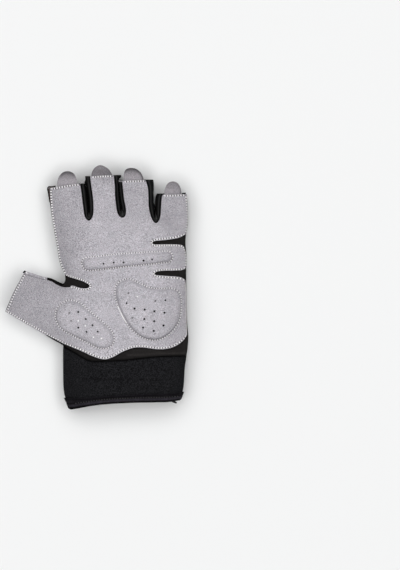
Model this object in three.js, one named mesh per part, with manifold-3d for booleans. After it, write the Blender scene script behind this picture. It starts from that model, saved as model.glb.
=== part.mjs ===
// A half-finger sport glove for the left hand, lying palm up on its back. Millimetres, +Z up,
// fingers towards +Y, thumb towards -X, the surface that it lies on at Z = 0.
// Each cloth piece is a flat pattern laid over the palm's curved surface and given its thickness.
import * as THREE from "three";
import { mergeVertices } from "three/addons/utils/BufferGeometryUtils.js";
import Module from "manifold-3d";

const wasm = await Module();
wasm.setup();

// Thicknesses of the materials, and the gap that neighbours keep.
const SUEDE = 1.2;
const STRETCH = 1.0;
const BACK = 1.4;
const NEOPRENE = 2.6;
const TAPE = 0.9;
const GAP = 0.3;
const SLACK = 0.45;
const FOAM_SLACK = 0.8;

// Heights above the surface: the sewn side seams, and the stretch layer at the middle of each region.
const SEAM_Z = 7;
const PALM_Z = 14.5;
const FINGER_Z = 11.5;
const THUMB_Z = 11;
const CUFF_Z = 14.5;

// Where the palm's height passes into that of the fingers, the thumb and the cuff.
const FINGERS_FROM = 38;
const FINGERS_AT = 66;
const THUMB_FROM = -20;
const THUMB_AT = -48;
const CUFF_FROM = -34;
const CUFF_AT = -58;

// How the surface rises from a sewn edge: over what width, how sharply, and how wide the flat lip is.
const RISE = {
  flat: { width: 13, power: 2.2, lip: 2.4 },
  round: { width: 10, power: 3, lip: 0.8 },
};
const SLOT_ROUND = 3.6;
const SLOT_DROP = 1.3;

// The suede's cut edges stand upright, and this far in it follows the surface.
const EDGE_UPRIGHT = 3;

// Foam pads: width and roundness of the shoulder, and how far the foam stays inside the quilting.
const PAD_SHOULDER = 4;
const PAD_ROUNDNESS = 2.4;
const PAD_INSET = 2;
const HOLE_RADIUS = 0.65;
const HOLE_SIDES = 5;

// Spacing of the points in the cloth's meshes.
const LINE_STEP = 3;
const EDGE_STEP = 3.6;
const SLOT_STEP = 3;
const SUEDE_GRID = 6.6;
const STRETCH_GRID = 6;
const PAD_STEP = 2.8;
const PAD_GRID = 4.6;
const TAB_GRID = 4.5;
const TAB_POINTS = 12;
const BACK_STEP = 7;
const WALL_STEPS = 5;
const CUFF_COLUMNS = 22;
const CUFF_ROWS = 6;
const FOLD_INSETS = [2.6, 6];
const FOLD_STEP = 4.6;
const SHOULDER_INSET = 3;
const SHOULDER_CLEAR = 2.4;
const LOOP_CLEAR = { bend: 1.3, lattice: 2.475, share: 0.55 };
const POINT_CLEAR = { bend: 1.6, share: 0.6 };
const NORMAL_REACH = 0.4;

// Edges of the palm suede, clockwise from the index finger's hem: x, y.
const EDGES = {
  indexHem: [[-36.5, 76.2], [-28.5, 77.5], [-20.8, 78.8], [-12.9, 79.6]],
  slotIndexMiddle: [
    [-12.9, 79.6], [-12, 74.5], [-11, 66], [-10.2, 60], [-9.6, 55.8], [-8.4, 52.9], [-6.2, 51.1],
    [-4.1, 52.9], [-3, 56], [-2.8, 60.9], [-3.1, 68], [-4.4, 77.8], [-5.4, 85.3],
  ],
  middleHem: [[-5.4, 85.3], [4.2, 86], [13, 86.2]],
  slotMiddleRing: [
    [13, 86.2], [13.8, 78.6], [14.1, 70], [15, 62], [15.8, 57.6], [17.2, 54.8], [19.7, 53.5],
    [21.6, 54.8], [22.3, 58], [22, 61.5], [20.8, 67.5], [20, 75], [19.3, 81.9],
  ],
  ringHem: [[19.3, 81.9], [28, 82.2], [37.6, 82.4]],
  slotRingLittle: [
    [37.6, 82.4], [39.2, 77], [39.8, 70], [40, 62], [41, 56.8], [42.8, 51.9], [45.4, 49.2],
    [47.8, 51.6], [48.9, 56], [49.2, 61], [49.8, 68.6], [50.6, 71.3],
  ],
  littleHem: [[50.6, 71.3], [57, 71.3], [69, 71.8]],
  littleSide: [[69, 71.8], [69.9, 60], [70, 50], [69, 43.2], [68.5, 40.8]],
  upperSlitTop: [[68.5, 40.8], [65, 38.6], [60.1, 37.1], [52.4, 36], [45.4, 35.4]],
  upperSlitEnd: [[45.4, 35.4], [43.4, 34.9], [42.9, 34.1], [43.5, 33.2], [45.5, 32.9]],
  upperSlitBottom: [[45.5, 32.9], [52.4, 33], [60.1, 33], [64.8, 32.6], [66.6, 31.8], [67.4, 30]],
  lobeSide: [[67.4, 30], [68.8, 25], [69, 19.3], [68.6, 15]],
  lowerSlitTop: [[68.6, 15], [66.3, 13.2], [60, 12.6], [52, 12.5], [47.2, 12]],
  lowerSlitEnd: [[47.2, 12], [45.5, 11.4], [44.5, 10.3], [45.3, 9.4], [47.4, 9.2]],
  lowerSlitBottom: [[47.4, 9.2], [54, 8.7], [60, 8.4], [64.5, 7.7], [66.6, 6.7], [68.2, 5]],
  heelSide: [[68.2, 5], [68.9, -2.2], [69.1, -25.3], [69.5, -36.8]],
  heelBottom: [
    [69.5, -36.8], [66, -41.7], [57.8, -46.6], [48.5, -47.9], [34.7, -46.4], [28.5, -46.7], [24, -48.1],
    [19.3, -50], [15.8, -52.1], [12.3, -53.9], [6.2, -55.6], [-0.8, -54.1], [-13.1, -48.7], [-26.2, -43.5],
  ],
  thumbBottom: [[-26.2, -43.5], [-43.9, -34.3], [-59.3, -25.7], [-70.8, -18.7]],
  thumbHem: [[-70.8, -18.7], [-63.9, -3.4], [-56.7, 10.2]],
  thumbTop: [[-56.7, 10.2], [-48, 7.6], [-41, 5.8], [-36, 4.9], [-31, 2], [-26, 0.1], [-20.6, 0.1]],
  crotchBottom: [[-20.6, 0.1], [-19.8, 1.3], [-13, -0.4], [-9.8, -0.9], [-7.5, -0.7]],
  crotchTip: [[-7.5, -0.7], [-6, 0], [-5.6, 0.9], [-6.4, 2], [-8.2, 3.1]],
  crotchTop: [[-8.2, 3.1], [-11, 4.5], [-16.9, 6.3], [-22, 7.9], [-24.8, 9.3]],
  indexSide: [
    [-24.8, 9.3], [-26.6, 13.5], [-29, 20], [-31, 32], [-33.2, 44], [-34.8, 54], [-35.8, 64], [-36.5, 76.2],
  ],
};
const SLOTS = ["slotIndexMiddle", "slotMiddleRing", "slotRingLittle"];

// Lines of the sewn sides, and how far the black wall below bulges out past each: x, y, bulge.
const SEAMS = {
  left: [
    [-36.5, 76.2, 1.7], [-36.2, 69, 1.1], [-35.7, 63, 0.5], [-34.8, 54, 0.2], [-33.2, 44, 0.2],
    [-31, 32, 0.2], [-29, 20, 0.2], [-26.6, 13.5, 0.2], [-24.8, 9.3, 0.2], [-24.6, 4.5, 0.3],
    [-26.2, 1.4, 1.3], [-31, 2.2, 2.2], [-36, 4.9, 1.9], [-41, 5.8, 2], [-48, 7.6, 2.3], [-56.7, 10.2, 2.5],
  ],
  lower: [
    [-70.8, -18.7, 0.2], [-59.3, -25.7, 0.2], [-43.9, -34.3, 0.4], [-32.5, -40.4, 1],
    [-26.6, -44.6, 0.6], [-26.3, -52, 0.4], [-26.2, -64, 0.4], [-25.8, -79, 0.4], [-24.8, -84.6, 0.4],
    [-22.8, -88.6, 0.4], [-21.2, -93, 0.4], [-19, -100, 0.4],
  ],
  right: [
    [69, 71.8, 0], [69.9, 60, 0], [70, 50, 0], [69, 43.2, 0], [68.1, 36, 0], [68.9, 22, 0],
    [68.6, 10, 0], [68.9, -2.2, 0], [69.3, -25.3, 0], [70.2, -38, 0], [69.8, -46, 0],
    [68.9, -53.5, 0], [67.7, -62, 0], [66.5, -78, 0], [64.9, -83.6, 0], [63, -88, 0], [59, -96, 0],
  ],
};

// Top seam and wrist hem of the cuff: x, y.
const CUFF_SEAM = [
  [-27, -45.2], [-22.3, -47.7], [-13.1, -52.7], [-6.9, -56.2], [-1.5, -57], [6.2, -56.9],
  [21.6, -56.1], [37, -54.4], [50, -53.2], [70.2, -52.9],
];
const CUFF_HEM = [
  [-27, -93.6], [-20.8, -93.9], [-16, -93.2], [-8, -91.9], [6, -90.2], [25, -89.1], [45, -88.6],
  [58, -88.1], [68, -86.6],
];

// The stretch layer runs from below the finger slots to the cuff, and a little way into the thumb.
const BASE_TOP = [[-18, 46], [-6, 46.4], [8, 48.6], [20, 49], [34, 47], [45, 45.2], [56, 47]];
const BASE_ENDS = { index: 47, little: 46, thumb: -38 };
const BASE_CLEAR = 1.2;
const BASE_CORNER = { from: 15, to: 24 };
const BASE_MARGIN = 4;

// Foam pads: quilted outline x, y, and height.
const PADS = {
  bar_pad: {
    height: 2.7,
    outline: [
      [-11.6, 18.2], [-9.4, 22.1], [0, 23.5], [13.9, 25.2], [29.3, 26.3], [48.5, 27.4],
      [56.2, 27.2], [58.5, 23.4], [56.4, 19.6], [48.5, 18.3], [21.6, 15.6], [0.8, 13.2], [-8.5, 13.2],
    ],
  },
  heel_pad: {
    height: 3.4,
    outline: [
      [18.5, 4.7], [24.6, 6.4], [33.1, 2.9], [40.8, -0.3], [48.5, -1.2], [57.8, -1], [62.2, -3.4],
      [64, -9], [64, -17.6], [62.4, -27.3], [57.6, -34.6], [50, -39.7], [43, -40.8], [35, -38.9],
      [26.2, -31.9], [20, -22.6], [15.6, -12.6], [14, -4], [15.2, 1.5],
    ],
  },
  thumb_pad: {
    height: 3,
    outline: [
      [-23.1, -10.6], [-18.6, -10.2], [-13.1, -12.2], [-5.4, -18.4], [2.3, -24.9], [10, -31.9],
      [13.3, -38], [12.4, -44], [8, -47], [1.5, -46.9], [-6.9, -43], [-19.2, -36.5], [-28.5, -30],
      [-31.5, -23], [-29.8, -15.8],
    ],
  },
};

// Punched air holes: x, y.
const HOLES = [
  [5.3, 17.9], [13.1, 18.8], [20.7, 18.9], [28.4, 19.2], [36, 20.3], [42.5, 21.2], [49.3, 22.6],
  [24.4, -4.6], [31.2, -7.3], [36.6, -7.6], [45.1, -10.6], [52.7, -10.1], [23, -12.3],
  [29.1, -16.4], [36.9, -17.2], [44.3, -18.5], [52.1, -19.6], [27.4, -23.6], [36.6, -24.5],
  [44.1, -26.1], [51.3, -29.4], [35.6, -31], [43.9, -33.6], [-14.1, -19.1], [-8.3, -24.5],
  [-3.2, -29.3], [0.8, -34.1], [-20.8, -19.8], [-14.1, -25.9], [-8.7, -29.7], [-2.5, -38.5],
  [-19.6, -25.9], [-14.1, -31.1], [-7.7, -34.3], [3.7, -39.4],
];

// Pull tabs: middle of the base on the finger's hem, half width, length, lean of the tip, and how
// pointed the tongue is on its right and left.
const TABS = {
  tab_index: { x: -23.1, y: 78.4, half: 8, length: 10.9, lean: 0.3, points: [0.92, 0.92] },
  tab_middle: { x: 3.9, y: 85.2, half: 8.5, length: 8.8, lean: -1.4, points: [1.2, 1.2] },
  tab_ring: { x: 28.5, y: 82.2, half: 7.8, length: 9.6, lean: -1.6, points: [1, 0.76] },
  tab_little: { x: 58.5, y: 71.2, half: 6.85, length: 10.2, lean: 0.1, points: [0.92, 0.92] },
};
const TAB_TUCK = 3.5;
const TAB_CURL = 3.6;
const TAB_NECK = 1.2;
const TAB_DROP = 0.6;

// How far each side wall of a finger slot bulges: at the crotch, along each side, and at each open end.
// Facing walls stay WALL_ROOM clear of the line midway between them.
const WALL_BULGES = {
  slotIndexMiddle: { crotch: 1.7, left: 3.8, right: 3.8, leftEnd: 4, rightEnd: 3.9 },
  slotMiddleRing: { crotch: 1.7, left: 3, right: 3.2, leftEnd: 2.7, rightEnd: 2.9 },
  slotRingLittle: { crotch: 1.7, left: 3.8, right: 4.6, leftEnd: 5.6, rightEnd: 4.8 },
};
const WALL_ROOM = 0.2;
const WALL_TUCK = 1;
const WALL_FLARE = 12;
const WALL_OPENS = 9;
const WALL_CLEAR = 0.05;

// The back: radius of its turned-up edge, how far panel and edge run into each other, the thumb's seam.
const BACK_ROUND = 3;
const BACK_JOIN = 0.5;
const THUMB_SEAM_X = -38.8;

// The cuff: how far it stands above the palm, its side radius, and where its hem lifts for the tape.
const CUFF_PROUD = 0.5;
const CUFF_ROUND = 6;
const CUFF_LIFT = { from: 0.5, to: 0.85, spare: 0.02 };
const TAPE_WIDTH = 5;

const SUEDE_GREY = new THREE.MeshStandardMaterial({ color: 0xb0acb2, roughness: 0.95, metalness: 0 });
const TAB_GREY = new THREE.MeshStandardMaterial({ color: 0x96919a, roughness: 0.95, metalness: 0 });
const STRETCH_BLACK = new THREE.MeshStandardMaterial({ color: 0x161617, roughness: 0.6, metalness: 0 });
const GLOSS_BLACK = new THREE.MeshStandardMaterial({ color: 0x0c0c0d, roughness: 0.35, metalness: 0 });
const CUFF_BLACK = new THREE.MeshStandardMaterial({ color: 0x1b1c1d, roughness: 0.85, metalness: 0 });
const TAPE_BLACK = new THREE.MeshStandardMaterial({ color: 0x262428, roughness: 0.8, metalness: 0 });
const FOAM_GREY = new THREE.MeshStandardMaterial({ color: 0x6f6d73, roughness: 1, metalness: 0 });

const { clamp, lerp, smoothstep } = THREE.MathUtils;

// A smooth curve through rows of two or three numbers, as rows about `step` apart.
function curve(rows, step, closed = false) {
  const path = new THREE.CatmullRomCurve3(rows.map(([x, y, z = 0]) => new THREE.Vector3(x, y, z)), closed);
  const count = Math.max(2, Math.round(path.getLength() / step));
  const points = path.getSpacedPoints(count).map((p) => [p.x, p.y, p.z]);
  return closed ? points.slice(0, -1) : points;
}

// Edges of the suede joined end to end, each shared end kept once.
function joined(names) {
  const stepOf = (name) => (SLOTS.includes(name) ? SLOT_STEP : EDGE_STEP);
  return names.flatMap((name) => curve(EDGES[name], stepOf(name)).slice(0, -1));
}

// The y of a line of rows x, y at a given x.
function lineY(rows, x) {
  const i = clamp(rows.findIndex((row) => row[0] > x), 1, rows.length - 1);
  const [[x0, y0], [x1, y1]] = [rows[i - 1], rows[i]];
  return lerp(y0, y1, clamp((x - x0) / (x1 - x0), 0, 1));
}

// The x of a sewn side at a given y, along the cuff.
function sideX(rows, y) {
  const turned = rows.map(([x, yy]) => [-yy, x]);
  return lineY(turned, -y);
}

function distance(x, y, line, closed = false) {
  let best = Infinity;
  for (let i = closed ? 0 : 1; i < line.length; i++) {
    const [ax, ay] = line[(i + line.length - 1) % line.length];
    const [bx, by] = line[i];
    const [dx, dy] = [bx - ax, by - ay];
    const t = clamp(((x - ax) * dx + (y - ay) * dy) / (dx * dx + dy * dy), 0, 1);
    best = Math.min(best, Math.hypot(x - ax - t * dx, y - ay - t * dy));
  }
  return best;
}

function inside(x, y, loop) {
  let odd = false;
  loop.forEach(([bx, by], i) => {
    const [ax, ay] = loop[(i + loop.length - 1) % loop.length];
    if (ay > y !== by > y && x < ax + ((y - ay) / (by - ay)) * (bx - ax)) odd = !odd;
  });
  return odd;
}

const SIDE_LINES = {
  left: curve(SEAMS.left, LINE_STEP),
  lower: curve(SEAMS.lower, LINE_STEP),
  right: curve(SEAMS.right, LINE_STEP),
};
const CUFF_TOP = curve(CUFF_SEAM, LINE_STEP);
const CUFF_END = curve(CUFF_HEM, LINE_STEP);
const SLOT_LINES = SLOTS.map((name) => curve(EDGES[name], LINE_STEP / 2));
const PAD_LINES = Object.fromEntries(
  Object.entries(PADS).map(([name, pad]) => [name, curve(pad.outline, PAD_STEP, true)]),
);

// Share of the full height reached at a distance from a sewn edge.
function rise(d, { width, power, lip }) {
  const run = Math.hypot(d, lip) - lip;
  return 1 - (1 - clamp(run / width, 0, 1)) ** power;
}

// Height of the stretch layer's outer face.
function height(x, y) {
  let full = lerp(PALM_Z, THUMB_Z, smoothstep(-x, -THUMB_FROM, -THUMB_AT));
  full = lerp(full, FINGER_Z, smoothstep(y, FINGERS_FROM, FINGERS_AT));
  full = lerp(full, CUFF_Z, smoothstep(-y, -CUFF_FROM, -CUFF_AT));
  const share =
    rise(distance(x, y, SIDE_LINES.left), RISE.flat) *
    rise(distance(x, y, SIDE_LINES.lower), RISE.flat) *
    rise(distance(x, y, SIDE_LINES.right), RISE.round);
  const slot = Math.min(...SLOT_LINES.map((line) => distance(x, y, line)));
  const drop = SLOT_DROP * Math.max(0, 1 - slot / SLOT_ROUND) ** 2;
  return SEAM_Z + (full - SEAM_Z) * share - drop;
}

// A point of the pattern laid on that surface, `off` away from it along its normal, which leans from
// the vertical by the given share.
function laid(x, y, off, lean = 1) {
  const e = NORMAL_REACH;
  const gx = (height(x + e, y) - height(x - e, y)) / (2 * e);
  const gy = (height(x, y + e) - height(x, y - e)) / (2 * e);
  const n = new THREE.Vector3(-gx * lean, -gy * lean, 1).normalize();
  return [x + n.x * off, y + n.y * off, height(x, y) + n.z * off];
}

// How far the pads swell the suede here.
function swell(x, y) {
  for (const [name, pad] of Object.entries(PADS)) {
    const line = PAD_LINES[name];
    if (!inside(x, y, line)) continue;
    const u = clamp(distance(x, y, line, true) / PAD_SHOULDER, 0, 1);
    return pad.height * (1 - (1 - u) ** PAD_ROUNDNESS);
  }
  return 0;
}

// Delaunay triangles of the points, by Bowyer and Watson's method. A tiny wobble settles ties.
function delaunay(points) {
  const far = 1e5;
  const at = points.map(([x, y], i) => [x + 1e-5 * Math.sin(i * 12.9), y + 1e-5 * Math.sin(i * 78.2)]);
  const n = at.length;
  at.push([-far, -far], [far, -far], [0, far]);
  const circled = (a, b, c) => {
    const [[ax, ay], [bx, by], [cx, cy]] = [at[a], at[b], at[c]];
    const d = 2 * ((bx - ax) * (cy - ay) - (by - ay) * (cx - ax));
    const b2 = (bx - ax) ** 2 + (by - ay) ** 2;
    const c2 = (cx - ax) ** 2 + (cy - ay) ** 2;
    const ux = ((cy - ay) * b2 - (by - ay) * c2) / d;
    const uy = ((bx - ax) * c2 - (cx - ax) * b2) / d;
    return { corners: d > 0 ? [a, b, c] : [a, c, b], x: ax + ux, y: ay + uy, r2: ux * ux + uy * uy };
  };
  let triangles = [circled(n, n + 1, n + 2)];
  for (let i = 0; i < n; i++) {
    const rim = new Map();
    triangles = triangles.filter((t) => {
      if ((at[i][0] - t.x) ** 2 + (at[i][1] - t.y) ** 2 > t.r2) return true;
      t.corners.forEach((a, k) => {
        const b = t.corners[(k + 1) % 3];
        if (!rim.delete(b + "," + a)) rim.set(a + "," + b, [a, b]);
      });
      return false;
    });
    for (const [a, b] of rim.values()) triangles.push(circled(a, b, i));
  }
  return triangles.map((t) => t.corners).filter((t) => t.every((i) => i < n));
}

// Triangles of the area between loops, with inner points, and each loop's edges kept whole.
function triangulate(loops, inner) {
  const points = loops.flat();
  let start = 0;
  const rings = loops.map((loop) => {
    start += loop.length;
    return loop.map((_, i) => start - loop.length + i);
  });
  points.push(...inner);
  const key = (a, b) => Math.min(a, b) + "," + Math.max(a, b);
  for (;;) {
    const triangles = delaunay(points);
    const edges = new Set(triangles.flatMap(([a, b, c]) => [key(a, b), key(b, c), key(c, a)]));
    let whole = true;
    rings.forEach((ring, r) => {
      rings[r] = ring.flatMap((a, i) => {
        const b = ring[(i + 1) % ring.length];
        if (edges.has(key(a, b))) return [a];
        whole = false;
        return [a, points.push([0, 1].map((k) => (points[a][k] + points[b][k]) / 2)) - 1];
      });
    });
    if (!whole) continue;
    const outlines = rings.map((ring) => ring.map((i) => points[i]));
    const kept = triangles.filter((t) => {
      const x = (points[t[0]][0] + points[t[1]][0] + points[t[2]][0]) / 3;
      const y = (points[t[0]][1] + points[t[1]][1] + points[t[2]][1]) / 3;
      return outlines.filter((loop) => inside(x, y, loop)).length === 1;
    });
    return { points, rings, triangles: kept };
  }
}

// A triangular lattice inside the first loop, clear of every loop and of the points given.
function lattice(loops, spacing, given = []) {
  const box = new THREE.Box2().setFromPoints(loops[0].map(([x, y]) => new THREE.Vector2(x, y)));
  const points = [];
  const row = spacing * Math.sqrt(0.75);
  const clear = Math.min(LOOP_CLEAR.share * spacing, LOOP_CLEAR.lattice);
  for (let j = 1; box.min.y + j * row < box.max.y; j++) {
    for (let i = 0; box.min.x + i * spacing < box.max.x; i++) {
      const x = box.min.x + (i + (j % 2) / 2) * spacing;
      const y = box.min.y + j * row;
      if (loops.filter((loop) => inside(x, y, loop)).length !== 1) continue;
      if (loops.some((loop) => distance(x, y, loop, true) < clear)) continue;
      if (given.some(([gx, gy]) => Math.hypot(x - gx, y - gy) < POINT_CLEAR.share * spacing)) continue;
      points.push([x, y]);
    }
  }
  return points;
}

// Those of the points that lie inside the loops, clear of them and of each other.
function thinned(points, loops) {
  return points.reduce((kept, [x, y]) => {
    const within = loops.filter((loop) => inside(x, y, loop)).length === 1;
    const free = within && loops.every((loop) => distance(x, y, loop, true) > LOOP_CLEAR.bend);
    if (free && kept.every(([kx, ky]) => Math.hypot(x - kx, y - ky) > POINT_CLEAR.bend)) kept.push([x, y]);
    return kept;
  }, []);
}

// A closed mesh from its points and faces, turned to face out.
function solid(points, faces) {
  const volume = faces.reduce((sum, f) => {
    const [a, b, c] = f.map((i) => new THREE.Vector3(...points[i]));
    return sum + a.dot(b.cross(c));
  }, 0);
  const geometry = new THREE.BufferGeometry();
  geometry.setAttribute("position", new THREE.Float32BufferAttribute(points.flat(), 3));
  geometry.setIndex(faces.flatMap(([a, b, c]) => (volume > 0 ? [a, b, c] : [a, c, b])));
  return geometry;
}

// A cloth piece: the flat pattern between loops, with one face laid by `top` and the other by `bottom`.
function cloth(loops, inner, top, bottom) {
  const wound = loops.map((loop, i) => {
    const area = THREE.ShapeUtils.area(loop.map(([x, y]) => new THREE.Vector2(x, y)));
    return area > 0 === (i === 0) ? loop : [...loop].reverse();
  });
  const { points, rings, triangles } = triangulate(wound, inner);
  const n = points.length;
  const faces = triangles.flatMap(([a, b, c]) => [[a, b, c], [a + n, c + n, b + n]]);
  for (const ring of rings) {
    ring.forEach((a, i) => {
      const b = ring[(i + 1) % ring.length];
      faces.push([a, a + n, b + n], [a, b + n, b]);
    });
  }
  return solid([...points.map(([x, y]) => top(x, y)), ...points.map(([x, y]) => bottom(x, y))], faces);
}

// Rings of points skinned into a closed mesh: round in a loop, or with both ends capped.
function skinned(rings, looped) {
  const m = rings[0].length;
  const faces = [];
  const last = looped ? rings.length : rings.length - 1;
  for (let r = 0; r < last; r++) {
    for (let k = 0; k < m; k++) {
      const [a, b] = [r * m + k, r * m + ((k + 1) % m)];
      const [c, d] = [(a + m) % (rings.length * m), (b + m) % (rings.length * m)];
      faces.push([a, b, d], [a, d, c]);
    }
  }
  if (!looped) {
    // Each ring is an outer row followed by the inner row backwards, so the cap is a strip across it.
    const end = (rings.length - 1) * m;
    for (let k = 0; k < m / 2 - 1; k++) {
      const [a, b, c, d] = [k, k + 1, m - 2 - k, m - 1 - k];
      faces.push([a, d, c], [a, c, b], [end + a, end + c, end + d], [end + a, end + b, end + c]);
    }
  }
  return solid(rings.flat(), faces);
}

function toManifold(geometry) {
  const bare = geometry.clone().deleteAttribute("normal").deleteAttribute("uv");
  const { attributes, index } = mergeVertices(bare);
  const vertProperties = attributes.position.array;
  const triVerts = Uint32Array.from(index.array);
  return new wasm.Manifold(new wasm.Mesh({ numProp: 3, vertProperties, triVerts }));
}

function fromManifold(manifold) {
  const { vertProperties, triVerts } = manifold.getMesh();
  const geometry = new THREE.BufferGeometry();
  geometry.setAttribute("position", new THREE.BufferAttribute(vertProperties, 3));
  geometry.setIndex(new THREE.BufferAttribute(triVerts, 1));
  return geometry;
}

// Sideways unit normals of an open line, to its left.
function leftNormals(line) {
  return line.map((_, i) => {
    const [ax, ay] = line[Math.max(0, i - 1)];
    const [bx, by] = line[Math.min(line.length - 1, i + 1)];
    const length = Math.hypot(bx - ax, by - ay);
    return [-(by - ay) / length, (bx - ax) / length];
  });
}

// A line moved sideways, to its left where `by` is positive.
function moved(line, by) {
  return leftNormals(line).map(([nx, ny], i) => [line[i][0] + nx * by, line[i][1] + ny * by]);
}

// A closed loop moved inwards.
function shrunk(loop, by) {
  const turned = THREE.ShapeUtils.area(loop.map(([x, y]) => new THREE.Vector2(x, y))) > 0 ? 1 : -1;
  return moved([loop.at(-1), ...loop, loop[0]], turned * by).slice(1, -1);
}

// A wall that bulges like half an ellipse between two heights along a line, tucked in at both edges.
function bulgingWall(line, bulges, low, highs, tuck, thickness, steps) {
  const normals = leftNormals(line);
  const rings = line.map(([x, y], i) => {
    const middle = (low + highs[i]) / 2;
    const row = (shrink) =>
      Array.from({ length: steps + 1 }, (_, k) => {
        const angle = Math.PI * (k / steps - 0.5);
        const out = (bulges[i] + tuck - shrink) * Math.cos(angle) - tuck;
        const z = middle + (highs[i] - middle - shrink) * Math.sin(angle);
        return [x + normals[i][0] * out, y + normals[i][1] * out, z];
      });
    return [...row(0), ...row(thickness).reverse()];
  });
  return skinned(rings, false);
}

function holes() {
  return HOLES.map(([x, y]) =>
    Array.from({ length: HOLE_SIDES }, (_, k) => {
      const angle = (2 * Math.PI * k) / HOLE_SIDES;
      return [x + HOLE_RADIUS * Math.cos(angle), y + HOLE_RADIUS * Math.sin(angle)];
    }),
  );
}

// Points along the quilting, just inside its shoulder and along the fold of the little finger's side,
// where the suede bends most.
function ridges() {
  const shoulders = Object.values(PAD_LINES).flatMap((line) =>
    shrunk(line, SHOULDER_INSET).filter(
      ([x, y]) => inside(x, y, line) && distance(x, y, line, true) > SHOULDER_CLEAR,
    ),
  );
  return [...Object.values(PAD_LINES).flat(), ...shoulders, ...foldPoints()];
}

function foldPoints() {
  return FOLD_INSETS.flatMap((inset) => moved(curve(SEAMS.right, FOLD_STEP), -inset));
}

function palmPanel() {
  const outline = joined(Object.keys(EDGES));
  const loops = [outline, ...holes()];
  const bends = thinned(ridges(), loops);
  const inner = [...bends, ...lattice(loops, SUEDE_GRID, bends)];
  const at = (x, y, off) => {
    const lean = smoothstep(distance(x, y, outline, true), 0, EDGE_UPRIGHT);
    return laid(x, y, GAP + swell(x, y) + off, lean);
  };
  return cloth(loops, inner, (x, y) => at(x, y, SUEDE), (x, y) => at(x, y, 0));
}

function palmBase() {
  const aboveCuff = ([x, y]) => y > lineY(CUFF_SEAM, x) + BASE_CLEAR;
  const index = SIDE_LINES.left.filter(([x, y]) => y < BASE_ENDS.index && x > BASE_ENDS.thumb);
  const right = SIDE_LINES.right.filter(aboveCuff).filter(([, y]) => y < BASE_ENDS.little);
  const lower = SIDE_LINES.lower.filter(aboveCuff).filter(([x]) => x > BASE_ENDS.thumb);
  const seam = curve(CUFF_SEAM, EDGE_STEP)
    .filter(([x, y]) => x > sideX(SEAMS.lower, y) && x < sideX(SEAMS.right, y))
    .map(([x, y]) => [x, y + GAP + smoothstep(-x, BASE_CORNER.from, BASE_CORNER.to)]);
  const top = curve(BASE_TOP, STRETCH_GRID);
  const loop = [...top, ...right, ...seam.reverse(), ...lower.reverse(), ...index.reverse()];
  const offset = -SLACK;
  const bends = thinned(foldPoints(), [loop]);
  return cloth(
    [loop],
    [...bends, ...lattice([loop], STRETCH_GRID, bends)],
    (x, y) => laid(x, y, offset),
    (x, y) => laid(x, y, offset - STRETCH),
  );
}

// A foam pad fills the swelling of the suede, its rim just inside the quilting.
function foamPad(name) {
  const rim = shrunk(PAD_LINES[name], PAD_INSET);
  return cloth(
    [rim],
    lattice([rim], PAD_GRID),
    (x, y) => laid(x, y, swell(x, y) - FOAM_SLACK),
    (x, y) => laid(x, y, GAP),
  );
}

// The wall of a finger slot, sewn under the suede above and to the back below.
function slotWall(name) {
  const line = curve(EDGES[name], SLOT_STEP);
  const bulge = WALL_BULGES[name];
  const lowest = line.reduce((best, [, y], i) => (y < line[best][1] ? i : best), 0);
  const away = line.map(([x, y]) => Math.hypot(x - line[lowest][0], y - line[lowest][1]));
  const bulges = away.map((d, i) => {
    const [side, end, reach] =
      i < lowest ? [bulge.left, bulge.leftEnd, away[0]] : [bulge.right, bulge.rightEnd, away.at(-1)];
    const facing = i < lowest ? line.slice(lowest) : line.slice(0, lowest + 1);
    const room = distance(line[i][0], line[i][1], facing) / 2 - WALL_ROOM;
    const full = Math.min(room, lerp(side, end, smoothstep(d, reach - WALL_FLARE, reach)));
    return lerp(bulge.crotch, full, smoothstep(d, 0, WALL_OPENS));
  });
  const highs = line.map(([x, y]) => height(x, y) - WALL_CLEAR);
  return bulgingWall(line, bulges, BACK + GAP, highs, WALL_TUCK, STRETCH, WALL_STEPS);
}

// Height of the back's seam: under the stretch layer, or right under the suede where that layer is absent.
function backSeam(x, y) {
  const lined = y < BASE_ENDS.index + BASE_MARGIN && x > BASE_ENDS.thumb - BASE_MARGIN;
  return lined ? SEAM_Z - SLACK - STRETCH - GAP : SEAM_Z;
}

// The whole back: a flat panel below, with its sides turned up to the seams.
function wholeBack() {
  const above = ([x, y]) => y > lineY(CUFF_SEAM, x) + GAP;
  const { left, lower, right } = Object.fromEntries(
    Object.entries(SEAMS).map(([name, rows]) => [name, curve(rows, BACK_STEP).filter(above)]),
  );
  const sides = [left.reverse(), right, lower.reverse()];
  const walls = sides.map((line) => {
    const highs = line.map(([x, y]) => backSeam(x, y));
    return bulgingWall(line, line.map(([, , bulge]) => bulge), 0, highs, BACK_ROUND, BACK, WALL_STEPS);
  });
  const [leftFoot, rightFoot, lowerFoot] = sides.map((line) => moved(line, BACK_JOIN - BACK_ROUND));
  const seam = curve(CUFF_SEAM, EDGE_STEP)
    .map(([x, y]) => [x, y + GAP])
    .filter(([x]) => x > lowerFoot[0][0] + BACK_JOIN && x < rightFoot.at(-1)[0] - BACK_JOIN);
  const fingertips = [
    "indexHem", "slotIndexMiddle", "middleHem", "slotMiddleRing", "ringHem", "slotRingLittle", "littleHem",
  ];
  const fingers = joined(fingertips).slice(1);
  const outline = [...leftFoot, ...fingers, ...rightFoot, ...seam.reverse(), ...lowerFoot];
  const shape = new THREE.Shape(outline.map(([x, y]) => new THREE.Vector2(x, y)));
  const panel = new THREE.ExtrudeGeometry(shape, { depth: BACK, bevelEnabled: false });
  return walls.reduce((sum, wall) => sum.add(toManifold(wall)), toManifold(panel));
}

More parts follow.
